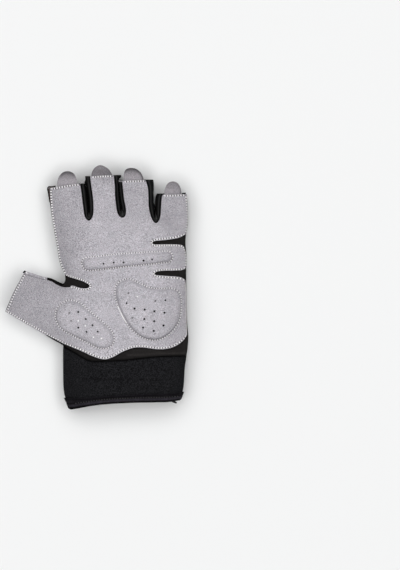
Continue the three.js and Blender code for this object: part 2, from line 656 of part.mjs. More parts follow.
// The part of a manifold on one side of the thumb's joining seam.
function besideThumbSeam(whole, side) {
  const size = 400;
  const box = new THREE.BoxGeometry(size, size, size);
  box.translate(THUMB_SEAM_X + (side * (size + GAP)) / 2, 0, 0);
  return fromManifold(whole.intersect(toManifold(box)));
}

// A closed loop of the cuff at a share of its length, `off` out from its face.
function cuffLoop(share, off) {
  const yAt = (x) => lerp(lineY(CUFF_TOP, x) - GAP / 2, lineY(CUFF_END, x) + GAP + TAPE, share);
  const x0 = sideX(SIDE_LINES.lower, yAt(SEAMS.lower.at(-3)[0]));
  const x1 = sideX(SIDE_LINES.right, yAt(SEAMS.right.at(-3)[0]));
  const lift = (GAP + TAPE + CUFF_LIFT.spare) * smoothstep(share, CUFF_LIFT.from, CUFF_LIFT.to);
  const xs = Array.from({ length: CUFF_COLUMNS + 1 }, (_, k) =>
    lerp(x0, x1, (1 - Math.cos((Math.PI * k) / CUFF_COLUMNS)) / 2),
  );
  const upper = xs.map((x) => [x, height(x, yAt(x)) + CUFF_PROUD, yAt(x)]);
  const lower = xs.slice(1, -1).map((x) => {
    const round = 1 - Math.min(1, (x - x0) / CUFF_ROUND, (x1 - x) / CUFF_ROUND);
    return [x, lift + (SEAM_Z - lift) * (1 - Math.sqrt(1 - round * round)), yAt(x)];
  });
  const section = [...lower, ...upper.reverse()];
  return shrunk(section, -off).map(([x, z], i) => [x, section[i][2], z]);
}

function cuff() {
  const shares = Array.from({ length: CUFF_ROWS + 1 }, (_, k) => k / CUFF_ROWS);
  const outside = shares.map((t) => cuffLoop(t, 0));
  const within = shares.map((t) => cuffLoop(t, -NEOPRENE));
  const rows = [...outside, ...within.reverse()];
  return skinned(rows[0].map((_, j) => rows.map((row) => row[j])), true);
}

// Tape folded over the wrist hem, a U in section.
function cuffBinding() {
  const length = lineY(CUFF_TOP, 20) - lineY(CUFF_END, 20) - GAP - TAPE;
  const [edge, fold, end] = [1 - TAPE_WIDTH / length, 1 + GAP / length, 1 + (GAP + TAPE) / length];
  const outer = [GAP, GAP + TAPE];
  const inner = [-NEOPRENE - GAP, -NEOPRENE - GAP - TAPE];
  const rows = [
    cuffLoop(edge, outer[1]),
    cuffLoop(end, outer[1]),
    cuffLoop(end, inner[1]),
    cuffLoop(edge, inner[1]),
    cuffLoop(edge, inner[0]),
    cuffLoop(fold, inner[0]),
    cuffLoop(fold, outer[0]),
    cuffLoop(edge, outer[0]),
  ];
  return skinned(rows[0].map((_, j) => rows.map((row) => row[j])), true);
}

// A pull tab: a tongue that starts under the finger's hem and curls down towards its tip.
function pullTab({ x, y, half, length, lean, points }) {
  const tucked = half - TAB_NECK;
  const tongue = Array.from({ length: TAB_POINTS + 1 }, (_, k) => {
    const angle = (Math.PI * k) / TAB_POINTS;
    const point = points[Math.cos(angle) > 0 ? 0 : 1];
    const across = Math.sign(Math.cos(angle)) * Math.abs(Math.cos(angle)) ** point;
    const along = Math.sin(angle) ** point;
    return [x + half * across + lean * along, y + length * along];
  });
  const loop = [[x - tucked, y - TAB_TUCK], [x + tucked, y - TAB_TUCK], ...tongue];
  const at = (px, py, off) => {
    const past = Math.max(0, py - y) / length;
    const [lx, ly, lz] = laid(px, Math.min(py, y), off);
    return [lx, ly + Math.max(0, py - y), lz - TAB_CURL * past ** 2];
  };
  return cloth(
    [loop],
    lattice([loop], TAB_GRID),
    (px, py) => at(px, py, -TAB_DROP),
    (px, py) => at(px, py, -TAB_DROP - SUEDE),
  );
}

function build() {
  const group = new THREE.Group();
  const add = (name, geometry, material) => {
    const mesh = new THREE.Mesh(geometry, material);
    mesh.name = name;
    group.add(mesh);
  };
  add("palm_panel", palmPanel(), SUEDE_GREY);
  add("palm_base", palmBase(), STRETCH_BLACK);
  for (const name of Object.keys(PADS)) add(name, foamPad(name), FOAM_GREY);
  add("fourchette_index_middle", slotWall("slotIndexMiddle"), GLOSS_BLACK);
  add("fourchette_middle_ring", slotWall("slotMiddleRing"), GLOSS_BLACK);
  add("fourchette_ring_little", slotWall("slotRingLittle"), GLOSS_BLACK);
  const whole = wholeBack();
  add("back_panel", besideThumbSeam(whole, 1), STRETCH_BLACK);
  add("thumb_back", besideThumbSeam(whole, -1), SUEDE_GREY);
  add("cuff", cuff(), CUFF_BLACK);
  add("cuff_binding", cuffBinding(), TAPE_BLACK);
  for (const [name, tab] of Object.entries(TABS)) add(name, pullTab(tab), TAB_GREY);
  return group;
}

export default build();
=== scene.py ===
"""Looks of a half-finger sport glove lying palm up: suede palm with quilted pads, black stretch
layers, finger side walls, cuff and pull tabs. Pattern tables are in millimetres, in the shared frame."""

import bmesh
import bpy
import numpy as np
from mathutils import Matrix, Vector
from mathutils.geometry import delaunay_2d_cdt
from mathutils.noise import noise as perlin


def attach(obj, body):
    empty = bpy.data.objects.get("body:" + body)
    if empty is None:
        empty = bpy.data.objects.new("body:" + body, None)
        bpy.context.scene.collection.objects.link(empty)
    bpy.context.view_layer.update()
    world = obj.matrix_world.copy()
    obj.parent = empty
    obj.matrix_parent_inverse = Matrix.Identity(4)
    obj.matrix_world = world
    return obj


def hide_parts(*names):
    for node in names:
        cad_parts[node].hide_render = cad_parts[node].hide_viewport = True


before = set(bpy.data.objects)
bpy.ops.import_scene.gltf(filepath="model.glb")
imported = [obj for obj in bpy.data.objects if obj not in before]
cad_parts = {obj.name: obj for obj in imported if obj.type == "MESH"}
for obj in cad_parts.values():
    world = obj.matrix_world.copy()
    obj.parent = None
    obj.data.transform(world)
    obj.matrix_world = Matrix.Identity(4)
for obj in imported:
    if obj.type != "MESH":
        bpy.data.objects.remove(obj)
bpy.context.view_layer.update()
MM = 0.001

# Thicknesses, gaps and heights of the layers.
SUEDE, STRETCH, BACK, NEOPRENE, TAPE = 1.2, 1.0, 1.4, 2.6, 0.9
GAP, SLACK, FOAM_SLACK = 0.3, 0.45, 0.8
SEAM_Z, PALM_Z, FINGER_Z, THUMB_Z, CUFF_Z = 7, 14.5, 11.5, 11, 14.5
# Where the height changes towards the thumb, the fingers and the cuff: from, to.
TO_THUMB, TO_FINGERS, TO_CUFF = (20, 48), (38, 66), (34, 58)
# How the surface rises from its sides.
FLAT = {"width": 13, "power": 2.2, "lip": 2.4}
ROUND = {"width": 10, "power": 3, "lip": 0.8}
SLOT_ROUND, SLOT_DROP = 3.6, 1.3
EDGE_UPRIGHT = 3
PAD_SHOULDER, PAD_ROUNDNESS, PAD_INSET = 4, 2.4, 2
# How far in from the suede's edge its stitches sink, and from a pad's outline the quilting is deepest.
STITCH_INSET, QUILT_INSET = 1.05, 0.55
# The quilting's depth, how much less it is where it faces up, and its width inside and outside its line.
QUILT_DEPTH, QUILT_TILT, QUILT_WIDTHS = 0.62, 0.2, (0.95, 0.65)
# How far the suede dips at its cut edge and under its stitches, and how wide.
EDGE_DIP, STITCH_DIP, DIP_WIDTH = 0.34, 0.2, 0.42
# Spacing of the points along curves, and how far the suede is cut back from its pattern.
COARSE, MEDIUM, FINE, CLOSE = 3, 1.5, 0.95, 0.8
SUEDE_TRIM = 0.17
# How far the suede's lattice keeps off its edge, the holes and the pads' outlines.
EDGE_CLEAR, HOLE_CLEAR, PAD_CLEAR = 2.1, 0.75, 3.1
# A dip round each hole with its width, and how far out the ring of points lies there.
HOLE_DIP, HOLE_DIP_WIDTH, HOLE_RING = 0.14, 0.4, 0.45
# How far the rows of closer points keep off the edge and off one another.
ROWS_CLEAR, ROWS_APART = 0.25, 0.33
# Rows of closer points: how far in from the suede's edge, and from a pad's outline.
EDGE_ROWS = (0.3, 0.65, 1.1, 1.7)
PAD_ROWS = (-1.1, -0.6, -0.2, 0.2, 0.6, 1, 1.5, 2.1, 2.8)

# Edges of the palm suede, clockwise from the index finger's hem: x, y. Each starts where the last ends.
EDGES = {
    "indexHem": [[-28.5, 77.5], [-20.8, 78.8], [-12.9, 79.6]],
    "slotIndexMiddle": [
        [-12, 74.5], [-11, 66], [-10.2, 60], [-9.6, 55.8], [-8.4, 52.9], [-6.2, 51.1], [-4.1, 52.9], [-3, 56],
        [-2.8, 60.9], [-3.1, 68], [-4.4, 77.8], [-5.4, 85.3],
    ],
    "middleHem": [[4.2, 86], [13, 86.2]],
    "slotMiddleRing": [
        [13.8, 78.6], [14.1, 70], [15, 62], [15.8, 57.6], [17.2, 54.8], [19.7, 53.5], [21.6, 54.8],
        [22.3, 58], [22, 61.5], [20.8, 67.5], [20, 75], [19.3, 81.9],
    ],
    "ringHem": [[28, 82.2], [37.6, 82.4]],
    "slotRingLittle": [
        [39.2, 77], [39.8, 70], [40, 62], [41, 56.8], [42.8, 51.9], [45.4, 49.2], [47.8, 51.6], [48.9, 56],
        [49.2, 61], [49.8, 68.6], [50.6, 71.3],
    ],
    "littleHem": [[57, 71.3], [69, 71.8]],
    "littleSide": [[69.9, 60], [70, 50], [69, 43.2], [68.5, 40.8]],
    "upperSlitTop": [[65, 38.6], [60.1, 37.1], [52.4, 36], [45.4, 35.4]],
    "upperSlitEnd": [[43.4, 34.9], [42.9, 34.1], [43.5, 33.2], [45.5, 32.9]],
    "upperSlitBottom": [[52.4, 33], [60.1, 33], [64.8, 32.6], [66.6, 31.8], [67.4, 30]],
    "lobeSide": [[68.8, 25], [69, 19.3], [68.6, 15]],
    "lowerSlitTop": [[66.3, 13.2], [60, 12.6], [52, 12.5], [47.2, 12]],
    "lowerSlitEnd": [[45.5, 11.4], [44.5, 10.3], [45.3, 9.4], [47.4, 9.2]],
    "lowerSlitBottom": [[54, 8.7], [60, 8.4], [64.5, 7.7], [66.6, 6.7], [68.2, 5]],
    "heelSide": [[68.9, -2.2], [69.1, -25.3], [69.5, -36.8]],
    "heelBottom": [
        [66, -41.7], [57.8, -46.6], [48.5, -47.9], [34.7, -46.4], [28.5, -46.7], [24, -48.1], [19.3, -50],
        [15.8, -52.1], [12.3, -53.9], [6.2, -55.6], [-0.8, -54.1], [-13.1, -48.7], [-26.2, -43.5],
    ],
    "thumbBottom": [[-43.9, -34.3], [-59.3, -25.7], [-70.8, -18.7]],
    "thumbHem": [[-63.9, -3.4], [-56.7, 10.2]],
    "thumbTop": [[-48, 7.6], [-41, 5.8], [-36, 4.9], [-31, 2], [-26, 0.1], [-20.6, 0.1]],
    "crotchBottom": [[-19.8, 1.3], [-13, -0.4], [-9.8, -0.9], [-7.5, -0.7]],
    "crotchTip": [[-6, 0], [-5.6, 0.9], [-6.4, 2], [-8.2, 3.1]],
    "crotchTop": [[-11, 4.5], [-16.9, 6.3], [-22, 7.9], [-24.8, 9.3]],
    "indexSide": [[-26.6, 13.5], [-29, 20], [-31, 32], [-33.2, 44], [-34.8, 54], [-35.8, 64], [-36.5, 76.2]],
}
corner = EDGES["indexSide"][-1]
for name, rows in EDGES.items():
    EDGES[name] = [corner, *rows]
    corner = rows[-1]
SLOTS = [name for name in EDGES if name.startswith("slot")]
FINGERTIPS = list(EDGES)[:7]

# Sewn sides, and how far the wall below bulges past each: x, y, bulge.
SEAMS = {
    "left": [
        [-36.5, 76.2, 1.7], [-36.2, 69, 1.1], [-35.7, 63, 0.5], [-34.8, 54, 0.2], [-33.2, 44, 0.2],
        [-31, 32, 0.2], [-29, 20, 0.2], [-26.6, 13.5, 0.2], [-24.8, 9.3, 0.2], [-24.6, 4.5, 0.3],
        [-26.2, 1.4, 1.3], [-31, 2.2, 2.2], [-36, 4.9, 1.9], [-41, 5.8, 2], [-48, 7.6, 2.3],
        [-56.7, 10.2, 2.5],
    ],
    "lower": [
        [-70.8, -18.7, 0.2], [-59.3, -25.7, 0.2], [-43.9, -34.3, 0.4], [-32.5, -40.4, 1],
        [-26.6, -44.6, 0.6], [-26.3, -52, 0.4], [-26.2, -64, 0.4], [-25.8, -79, 0.4],
        [-24.8, -84.6, 0.4], [-22.8, -88.6, 0.4], [-21.2, -93, 0.4], [-19, -100, 0.4],
    ],
    "right": [
        [69, 71.8, 0], [69.9, 60, 0], [70, 50, 0], [69, 43.2, 0], [68.1, 36, 0], [68.9, 22, 0],
        [68.6, 10, 0], [68.9, -2.2, 0], [69.3, -25.3, 0], [70.2, -38, 0], [69.8, -46, 0],
        [68.9, -53.5, 0], [67.7, -62, 0], [66.5, -78, 0], [64.9, -83.6, 0], [63, -88, 0], [59, -96, 0],
    ],
}
CUFF_SEAM = [
    [-27, -45.2], [-22.3, -47.7], [-13.1, -52.7], [-6.9, -56.2], [-1.5, -57], [6.2, -56.9],
    [21.6, -56.1], [37, -54.4], [50, -53.2], [70.2, -52.9],
]
CUFF_HEM = [
    [-27, -93.6], [-20.8, -93.9], [-16, -93.2], [-8, -91.9], [6, -90.2], [25, -89.1], [45, -88.6],
    [58, -88.1], [68, -86.6],
]

# The stretch layer: its top edge, and where it ends on the index side, at the thumb and on the right.
BASE_TOP = [[-18, 46], [-6, 46.4], [8, 48.6], [20, 49], [34, 47], [45, 45.2], [56, 47]]
INDEX_END, THUMB_END, RIGHT_END = 47, -38, 46
# A soft fold in it above the cuff, and its highlights: rows x, y, strength, width.
FOLD = [[16, -51], [34, -50.2], [50, -49.6], [64, -48.5]]
HIGHLIGHTS = [
    ([[24, -52.2], [46, -51.4], [68, -50.8]], 0.9, 0.9),
    ([[27, -48.7], [38, -48.3], [50, -49.4]], 0.5, 1.0),
]

# Foam pads: height of the swelling, and quilted outline x, y.
PADS = {
    "bar_pad": (2.7, [
        [-11.6, 18.2], [-9.4, 22.1], [0, 23.5], [13.9, 25.2], [29.3, 26.3], [48.5, 27.4],
        [56.2, 27.2], [58.5, 23.4], [56.4, 19.6], [48.5, 18.3], [21.6, 15.6], [0.8, 13.2],
        [-8.5, 13.2],
    ]),
    "heel_pad": (3.4, [
        [18.5, 4.7], [24.6, 6.4], [33.1, 2.9], [40.8, -0.3], [48.5, -1.2], [57.8, -1],
        [62.2, -3.4], [64, -9], [64, -17.6], [62.4, -27.3], [57.6, -34.6], [50, -39.7],
        [43, -40.8], [35, -38.9], [26.2, -31.9], [20, -22.6], [15.6, -12.6], [14, -4], [15.2, 1.5],
    ]),
    "thumb_pad": (3, [
        [-23.1, -10.6], [-18.6, -10.2], [-13.1, -12.2], [-5.4, -18.4], [2.3, -24.9], [10, -31.9],
        [13.3, -38], [12.4, -44], [8, -47], [1.5, -46.9], [-6.9, -43], [-19.2, -36.5],
        [-28.5, -30], [-31.5, -23], [-29.8, -15.8],
    ]),
}

# Punched air holes: x, y and tone: black, dark, grey, pale or white.
HOLES = [
    (5.3, 17.9, "dark"), (13.1, 18.8, "dark"), (20.7, 18.9, "dark"), (28.4, 19.2, "pale"),
    (36, 20.3, "black"), (42.5, 21.2, "dark"), (49.3, 22.6, "pale"), (24.4, -4.6, "grey"),
    (31.2, -7.3, "white"), (36.6, -7.6, "pale"), (45.1, -10.6, "grey"), (52.7, -10.1, "dark"),
    (23, -12.3, "dark"), (29.1, -16.4, "black"), (36.9, -17.2, "black"), (44.3, -18.5, "black"),
    (52.1, -19.6, "black"), (27.4, -23.6, "grey"), (36.6, -24.5, "black"), (44.1, -26.1, "black"),
    (51.3, -29.4, "black"), (35.6, -31, "black"), (43.9, -33.6, "black"), (-14.1, -19.1, "dark"),
    (-8.3, -24.5, "dark"), (-3.2, -29.3, "dark"), (0.8, -34.1, "dark"), (-20.8, -19.8, "grey"),
    (-14.1, -25.9, "white"), (-8.7, -29.7, "white"), (-2.5, -38.5, "white"), (-19.6, -25.9, "grey"),
    (-14.1, -31.1, "dark"), (-7.7, -34.3, "dark"), (3.7, -39.4, "white"),
]
HOLE_RADII = {"black": 0.8, "dark": 0.72, "grey": 0.66, "pale": 0.64, "white": 0.66}
# Holes that show foam: how deep it lies, and its shade. The rest go through the foam.
PLUG_TONES = {"grey": (0.5, 0.2), "pale": (0.4, 0.7), "white": (0.15, 1.25)}
PLUG_DEPTH = 0.9
FOAM_HOLE, FOAM_SIDES = 1.4, 10

# Pull tabs: middle of the base on the finger's hem, half width, length, lean, and how pointed on the
# right and left.
TABS = {
    "tab_index": (-23.1, 78.4, 8, 10.9, 0.3, (0.92, 0.92)),
    "tab_middle": (3.9, 85.2, 8.5, 8.8, -1.4, (1.2, 1.2)),
    "tab_ring": (28.5, 82.2, 7.8, 9.6, -1.6, (1, 0.76)),
    "tab_little": (58.4, 71.1, 6.95, 10.3, 0.1, (0.92, 0.92)),
}
TAB_TUCK, TAB_CURL, TAB_NECK, TAB_DROP = 3.5, 3.6, 1.2, 0.6

# Side walls of each finger slot: how far they bulge (left, right, left end, right end), the y below
# which they touch, and how far they run on past the hem on the left and on the right.
WALLS = {
    "slotIndexMiddle": ((3.8, 3.8, 4, 3.9), 83, (0.1, 0.2)),
    "slotMiddleRing": ((3, 3.2, 5.6, 2.9), 80, (0.1, 0.3)),
    "slotRingLittle": ((3.8, 4.7, 5.6, 4.9), 64, (0.4, 0.8)),
}
CROTCH_BULGE = 2.3
WALL_FLARE, WALL_OPENS = 12, 9
BACK_ROUND, THUMB_SEAM_X = 3, -38.8
# How far the cloths keep off the cuff's seam.
SEAM_CLEAR = 0.02
CUFF_PROUD, CUFF_ROUND, CUFF_LIFT = 0.5, 6, (0.5, 0.85)
TAPE_WIDTH, TAPE_SEAM = 5, 3.9


# Curves and distances in the flat pattern.
def curve(rows, step, closed=False):
    """A centripetal Catmull-Rom curve through the rows, as points about step apart."""
    p = np.array(rows, float)
    before, after = (p[-1], p[:2]) if closed else (2 * p[0] - p[1], 2 * p[-1] - p[-2])
    p = np.vstack([before, p, after])
    t = np.linspace(0, 1, 33)[:-1, None]
    fine = []
    for a, b, c, d in zip(p, p[1:], p[2:], p[3:]):
        u, v, w = (max(np.linalg.norm(q - r), 1e-6) ** 0.5 for q, r in ((b, a), (c, b), (d, c)))
        m0 = ((b - a) / u - (c - a) / (u + v) + (c - b) / v) * v
        m1 = ((c - b) / v - (d - b) / (v + w) + (d - c) / w) * v
        fine.append(b + m0 * t + (3 * (c - b) - 2 * m0 - m1) * t**2 + (2 * (b - c) + m0 + m1) * t**3)
    fine = np.vstack([*fine, p[-2]])
    along = np.concatenate([[0], np.cumsum(np.linalg.norm(np.diff(fine, axis=0), axis=1))])
    at = np.linspace(0, along[-1], max(2, round(along[-1] / step)) + 1)
    points = np.stack([np.interp(at, along, fine[:, k]) for k in range(p.shape[1])], axis=1)
    return points[:-1] if closed else points


def distance(xy, line, closed=False):
    """Distance of each point to a line of points."""
    line = np.asarray(line)[:, :2]
    ends = np.roll(line, -1, axis=0) if closed else line[1:]
    best = np.full(len(xy), np.inf)
    for a, b in zip(line, ends):
        d = b - a
        r = xy - a
        t = np.clip(r @ d / max(d @ d, 1e-12), 0, 1)
        best = np.minimum(best, ((r - t[:, None] * d) ** 2).sum(1))
    return np.sqrt(best)


def inside(xy, loop):
    odd = np.zeros(len(xy), bool)
    x, y = xy[:, 0], xy[:, 1]
    for (ax, ay), (bx, by) in zip(np.roll(loop, 1, axis=0)[:, :2], loop[:, :2]):
        if ay != by:
            odd ^= ((ay > y) != (by > y)) & (x < ax + (y - ay) / (by - ay) * (bx - ax))
    return odd


def turned_left(d):
    return np.stack([-d[:, 1], d[:, 0]], axis=1)


def normals(line):
    """Unit normals of an open line, to its left."""
    d = np.gradient(np.asarray(line)[:, :2], axis=0)
    return turned_left(d) / np.linalg.norm(d, axis=1)[:, None]


def moved(line, by):
    return np.asarray(line)[:, :2] + normals(line) * column(by)


def moved_loop(loop, by):
    """A closed loop moved inwards."""
    area = np.sum(loop[:, 0] * np.roll(loop[:, 1], -1) - np.roll(loop[:, 0], -1) * loop[:, 1])
    return moved(np.vstack([loop[-1], loop, loop[0]]), np.sign(area) * by)[1:-1]


def smooth(t, low, high):
    t = np.clip((t - low) / (high - low), 0, 1)
    return t * t * (3 - 2 * t)


def bell(t):
    """One at zero, fading out to nothing within about two either way."""
    return np.exp(-(t**2))


def lined(gap, change, width):
    """A factor of one that changes by so much along a soft line of that width."""
    return 1 + change * bell(gap / width)


def unit(rows):
    """The rows made one long."""
    return rows / np.linalg.norm(rows, axis=1)[:, None]


def column(values):
    return np.reshape(values, (-1, 1))


def line_y(rows, x):
    rows = np.asarray(rows)
    return np.interp(x, rows[:, 0], rows[:, 1])


def side_x(rows, y):
    rows = np.asarray(rows)
    return np.interp(-np.asarray(y), -rows[:, 1], rows[:, 0])


def above_cuff(line, by):
    """The points of a line that lie that far above the cuff's seam."""
    return line[line[:, 1] > line_y(CUFF_SEAM, line[:, 0]) + by]


# The palm's surface, and how the suede lies over it.
SIDE_LINES = {name: curve(rows, COARSE) for name, rows in SEAMS.items()}
CUFF_TOP, CUFF_END = curve(CUFF_SEAM, COARSE), curve(CUFF_HEM, COARSE)
SLOT_LINES = [curve(EDGES[name], MEDIUM) for name in SLOTS]
PAD_LINES = {name: curve(outline, MEDIUM, True) for name, (_, outline) in PADS.items()}


def rise(d, width, power, lip):
    return 1 - (1 - np.clip((np.hypot(d, lip) - lip) / width, 0, 1)) ** power


def height(xy):
    x, y = xy[:, 0], xy[:, 1]
    full = PALM_Z + (THUMB_Z - PALM_Z) * smooth(-x, *TO_THUMB)
    full += (FINGER_Z - full) * smooth(y, *TO_FINGERS)
    full += (CUFF_Z - full) * smooth(-y, *TO_CUFF)
    share = 1
    for name, form in (("left", FLAT), ("lower", FLAT), ("right", ROUND)):
        share = share * rise(distance(xy, SIDE_LINES[name]), **form)
    slot = np.minimum.reduce([distance(xy, line) for line in SLOT_LINES])
    return SEAM_Z + (full - SEAM_Z) * share - SLOT_DROP * np.maximum(0, 1 - slot / SLOT_ROUND) ** 2


def surface(xy, lean=1.0):
    """Points of the pattern laid on the palm's surface, and its normals there."""
    e = 0.4
    gx = (height(xy + [e, 0]) - height(xy - [e, 0])) / (2 * e)
    gy = (height(xy + [0, e]) - height(xy - [0, e])) / (2 * e)
    n = unit(np.stack([-gx * lean, -gy * lean, np.ones(len(xy))], axis=1))
    return np.column_stack([xy, height(xy)]), n


def swell(xy):
    """How far the foam pads lift the suede."""
    out = np.zeros(len(xy))
    for name, (high, _) in PADS.items():
        line = PAD_LINES[name]
        within = inside(xy, line)
        u = np.clip(distance(xy[within], line, True) / PAD_SHOULDER, 0, 1)
        out[within] = high * (1 - (1 - u) ** PAD_ROUNDNESS)
    return out


def wander(xy, size, seed):
    """Smooth noise from -1 to 1 over the pattern, with bumps of that size."""
    return np.array([perlin(Vector((x / size, y / size, seed))) for x, y in np.asarray(xy)[:, :2]])


def edge_gap(xy):
    """Distance of each point to the suede's cut edge."""
    return distance(xy, SUEDE_LOOP, True)


def suede_surface(xy):
    """Points on the palm's surface and its normals for the suede, whose cut edges stand upright."""
    return surface(xy, smooth(edge_gap(xy), 0, EDGE_UPRIGHT))


def beside(xy, line):
    """Distance inside a closed line, negative outside, and the angle in which its nearest part faces."""
    gaps = np.hypot(*(xy[:, None] - line[None]).transpose(2, 0, 1))
    out = line - moved_loop(line, 0.1)
    faces = np.arctan2(out[:, 1], out[:, 0])[gaps.argmin(1)]
    return distance(xy, line, True) * np.where(inside(xy, line), 1, -1), faces


def suede_offset(xy):
    """Height of the suede's top above the surface: pads, quilting, stitched edges and slack."""
    off = GAP + SUEDE + swell(xy)
    for line in PAD_LINES.values():
        past, faces = beside(xy, line)
        width = np.where(past > QUILT_INSET, *QUILT_WIDTHS)
        off -= (QUILT_DEPTH - QUILT_TILT * np.sin(faces)) * bell((past - QUILT_INSET) / width)
    edge = edge_gap(xy)
    off -= EDGE_DIP * bell(edge / DIP_WIDTH) + STITCH_DIP * bell((edge - STITCH_INSET) / DIP_WIDTH)
    calm = smooth(edge, 0.5, 7)
    return off + calm * (0.26 * wander(xy, 17, 3.1) + 0.10 * wander(xy, 6.5, 8.7))


SUEDE_LOOP = moved_loop(np.vstack([curve(rows, FINE)[:-1] for rows in EDGES.values()]), SUEDE_TRIM)


# Meshes.
def lattice(loops, spacing, clear):
    """A triangular lattice between loops and clear of them."""
    low, high = loops[0].min(0), loops[0].max(0)
    row = spacing * 0.75**0.5
    j, i = np.mgrid[0 : int((high[1] - low[1]) / row) + 1, 0 : int((high[0] - low[0]) / spacing) + 1]
    xy = np.stack([low[0] + (i + (j % 2) / 2) * spacing, low[1] + j * row], axis=-1).reshape(-1, 2)
    xy = xy[sum(inside(xy, loop).astype(int) for loop in loops) == 1]
    for loop in loops:
        xy = xy[distance(xy, loop, True) > clear]
    return xy


def thinned(xy, clear):
    """The points with those dropped that lie in one small cell with an earlier one."""
    _, first = np.unique(np.round(xy / clear).astype(int), axis=0, return_index=True)
    return xy[np.sort(first)]


def flat_mesh(loops, inner):
    """Triangles of the area between loops with inner points: points and faces."""
    points = np.vstack([*loops, inner])
    edges, start = [], 0
    for loop in loops:
        n = len(loop)
        edges += [(start + k, start + (k + 1) % n) for k in range(n)]
        start += n
    out = delaunay_2d_cdt([Vector(p) for p in points], edges, [], 1, 1e-4)
    xy, faces = np.array([v[:] for v in out[0]]), np.array(out[2])
    middle = xy[faces].mean(1)
    faces = faces[sum(inside(middle, loop).astype(int) for loop in loops) % 2 == 1]
    used = np.unique(faces)
    index = np.full(len(xy), -1)
    index[used] = np.arange(len(used))
    return xy[used], index[faces]


def slab(place, n, high, low, faces):
    """A closed mesh between two heights above the points of a flat mesh laid on a surface."""
    top, bottom = place + n * column(high), place + n * column(low)
    n = len(top)
    rim = {}
    for f in faces:
        for a, b in zip(f, np.roll(f, -1)):
            rim[(int(a), int(b))] = rim.pop((int(b), int(a)), None) is None
    sides = [(a, b, b + n, a + n) for (a, b), alone in rim.items() if alone]
    return np.vstack([top, bottom]), [*map(tuple, faces), *(tuple(f[::-1] + n) for f in faces), *sides]


def skinned(rings, looped):
    """Rings of points skinned into a closed mesh, round in a loop or with both ends capped."""
    rings = np.array(rings)
    count, m = rings.shape[:2]
    faces = []
    for r in range(count if looped else count - 1):
        a, b = r * m, (r + 1) % count * m
        faces += [(a + k, a + (k + 1) % m, b + (k + 1) % m, b + k) for k in range(m)]
    if not looped:
        for a in (0, (count - 1) * m):
            faces += [(a + k, a + k + 1, a + m - 2 - k, a + m - 1 - k) for k in range(m // 2 - 1)]
    return rings.reshape(-1, 3), faces


CORD_SIDES = 8


def cord(points, width, thick):
    """A strand along the points, so wide across and so thick."""
    along = np.gradient(points, axis=0)
    across = unit(np.cross(along, (0, 0, 1)))
    up = np.cross(across, unit(along))
    a = np.linspace(0, 2 * np.pi, CORD_SIDES, endpoint=False)
    wide = np.broadcast_to(width, len(points)) / 2
    rings = points[:, None] + across[:, None] * (wide[:, None] * np.cos(a))[..., None]
    return skinned(rings + up[:, None] * (thick / 2 * np.sin(a))[:, None], False)


def strand(rows, step, width, thick):
    return cord(curve(rows, step), width, thick)


def linked(name, data):
    thing = bpy.data.objects.new(name, data)
    bpy.context.scene.collection.objects.link(thing)
    return thing


def add(name, mesh, shade, material, slot, replaces=(), sharp=50):
    """A piece with its own shade at each point, which can hold painted light and shade, repeated for its
    underside.
    """
    points, faces = mesh
    me = bpy.data.meshes.new(name)
    me.from_pydata((np.asarray(points) * MM).tolist(), [], [tuple(map(int, f)) for f in faces])
    bm = bmesh.new()
    bm.from_mesh(me)
    bmesh.ops.recalc_face_normals(bm, faces=bm.faces)
    bm.to_mesh(me)
    bm.free()
    me.polygons.foreach_set("use_smooth", [True] * len(me.polygons))
    me.set_sharp_from_angle(angle=np.radians(sharp))
    tone = me.attributes.new("shade", "FLOAT", "POINT")
    tone.data.foreach_set("value", np.resize(np.asarray(shade, np.float32), len(me.vertices)))
    me.materials.append(material)
    piece = linked(name, me)
    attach(piece, "root")
    if replaces:
        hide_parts(*replaces)
    return piece


def merged(parts):
    """Several meshes as one."""
    points, faces, start = [], [], 0
    for p, f in parts:
        points.append(p)
        faces += [tuple(i + start for i in face) for face in f]
        start += len(p)
    return np.vstack(points), faces


def add_threads(name, parts, material, slot, shade=1.0):
    add(name, merged(parts), shade, material, slot, sharp=80)


# Materials.
def plug(tree, made, **inputs):
    """Sets a node's inputs to values or to other outputs, with _ for a space in a name."""
    for name, value in inputs.items():
        socket = made.inputs[name.replace("_", " ")]
        if isinstance(value, bpy.types.NodeSocket):
            tree.links.new(value, socket)
        else:
            socket.default_value = value


def shader(name, colour, roughness, **inputs):
    mat = bpy.data.materials.new(name)
    mat.use_nodes = True
    tree = mat.node_tree
    bsdf = tree.nodes["Principled BSDF"]
    plug(tree, bsdf, Base_Color=(*colour, 1), Roughness=roughness, **inputs)
    return mat, tree, bsdf


def node(tree, kind, output, settings=None, **inputs):
    """The output of a new shader node."""
    made = tree.nodes.new("ShaderNode" + kind)
    for name, value in (settings or {}).items():
        setattr(made, name, value)
    plug(tree, made, **inputs)
    return made.outputs[output]


def millimetres(tree, scale=(1, 1, 1), turn=0.0):
    """Object coordinates in millimetres."""
    where = node(tree, "TexCoord", "Object")
    scale = [1000 * s for s in scale]
    return node(tree, "Mapping", "Vector", Vector=where, Scale=scale, Rotation=(0, 0, turn))


def cloud(tree, vector, scale, detail=3.0, roughness=0.6):
    return node(tree, "TexNoise", "Fac", Vector=vector, Scale=scale, Detail=detail, Roughness=roughness)


def ramp(tree, fac, stops):
    out = node(tree, "ValToRGB", "Color", Fac=fac)
    elements = out.node.color_ramp.elements
    while len(elements) < len(stops):
        elements.new(0.5)
    for element, (at, colour) in zip(elements, stops):
        element.position = at
        element.color = (*colour, 1)
    return out


def grey(value, tint=(1, 1, 1)):
    return tuple(value * t for t in tint)


def mottled(tree, fac, level, tint, darker, lighter):
    """A colour that strays by these shares to darker and lighter."""
    shares = zip((0.33, 0.5, 0.68), (1 - darker, 1, 1 + lighter))
    return ramp(tree, fac, [(at, grey(level * share, tint)) for at, share in shares])


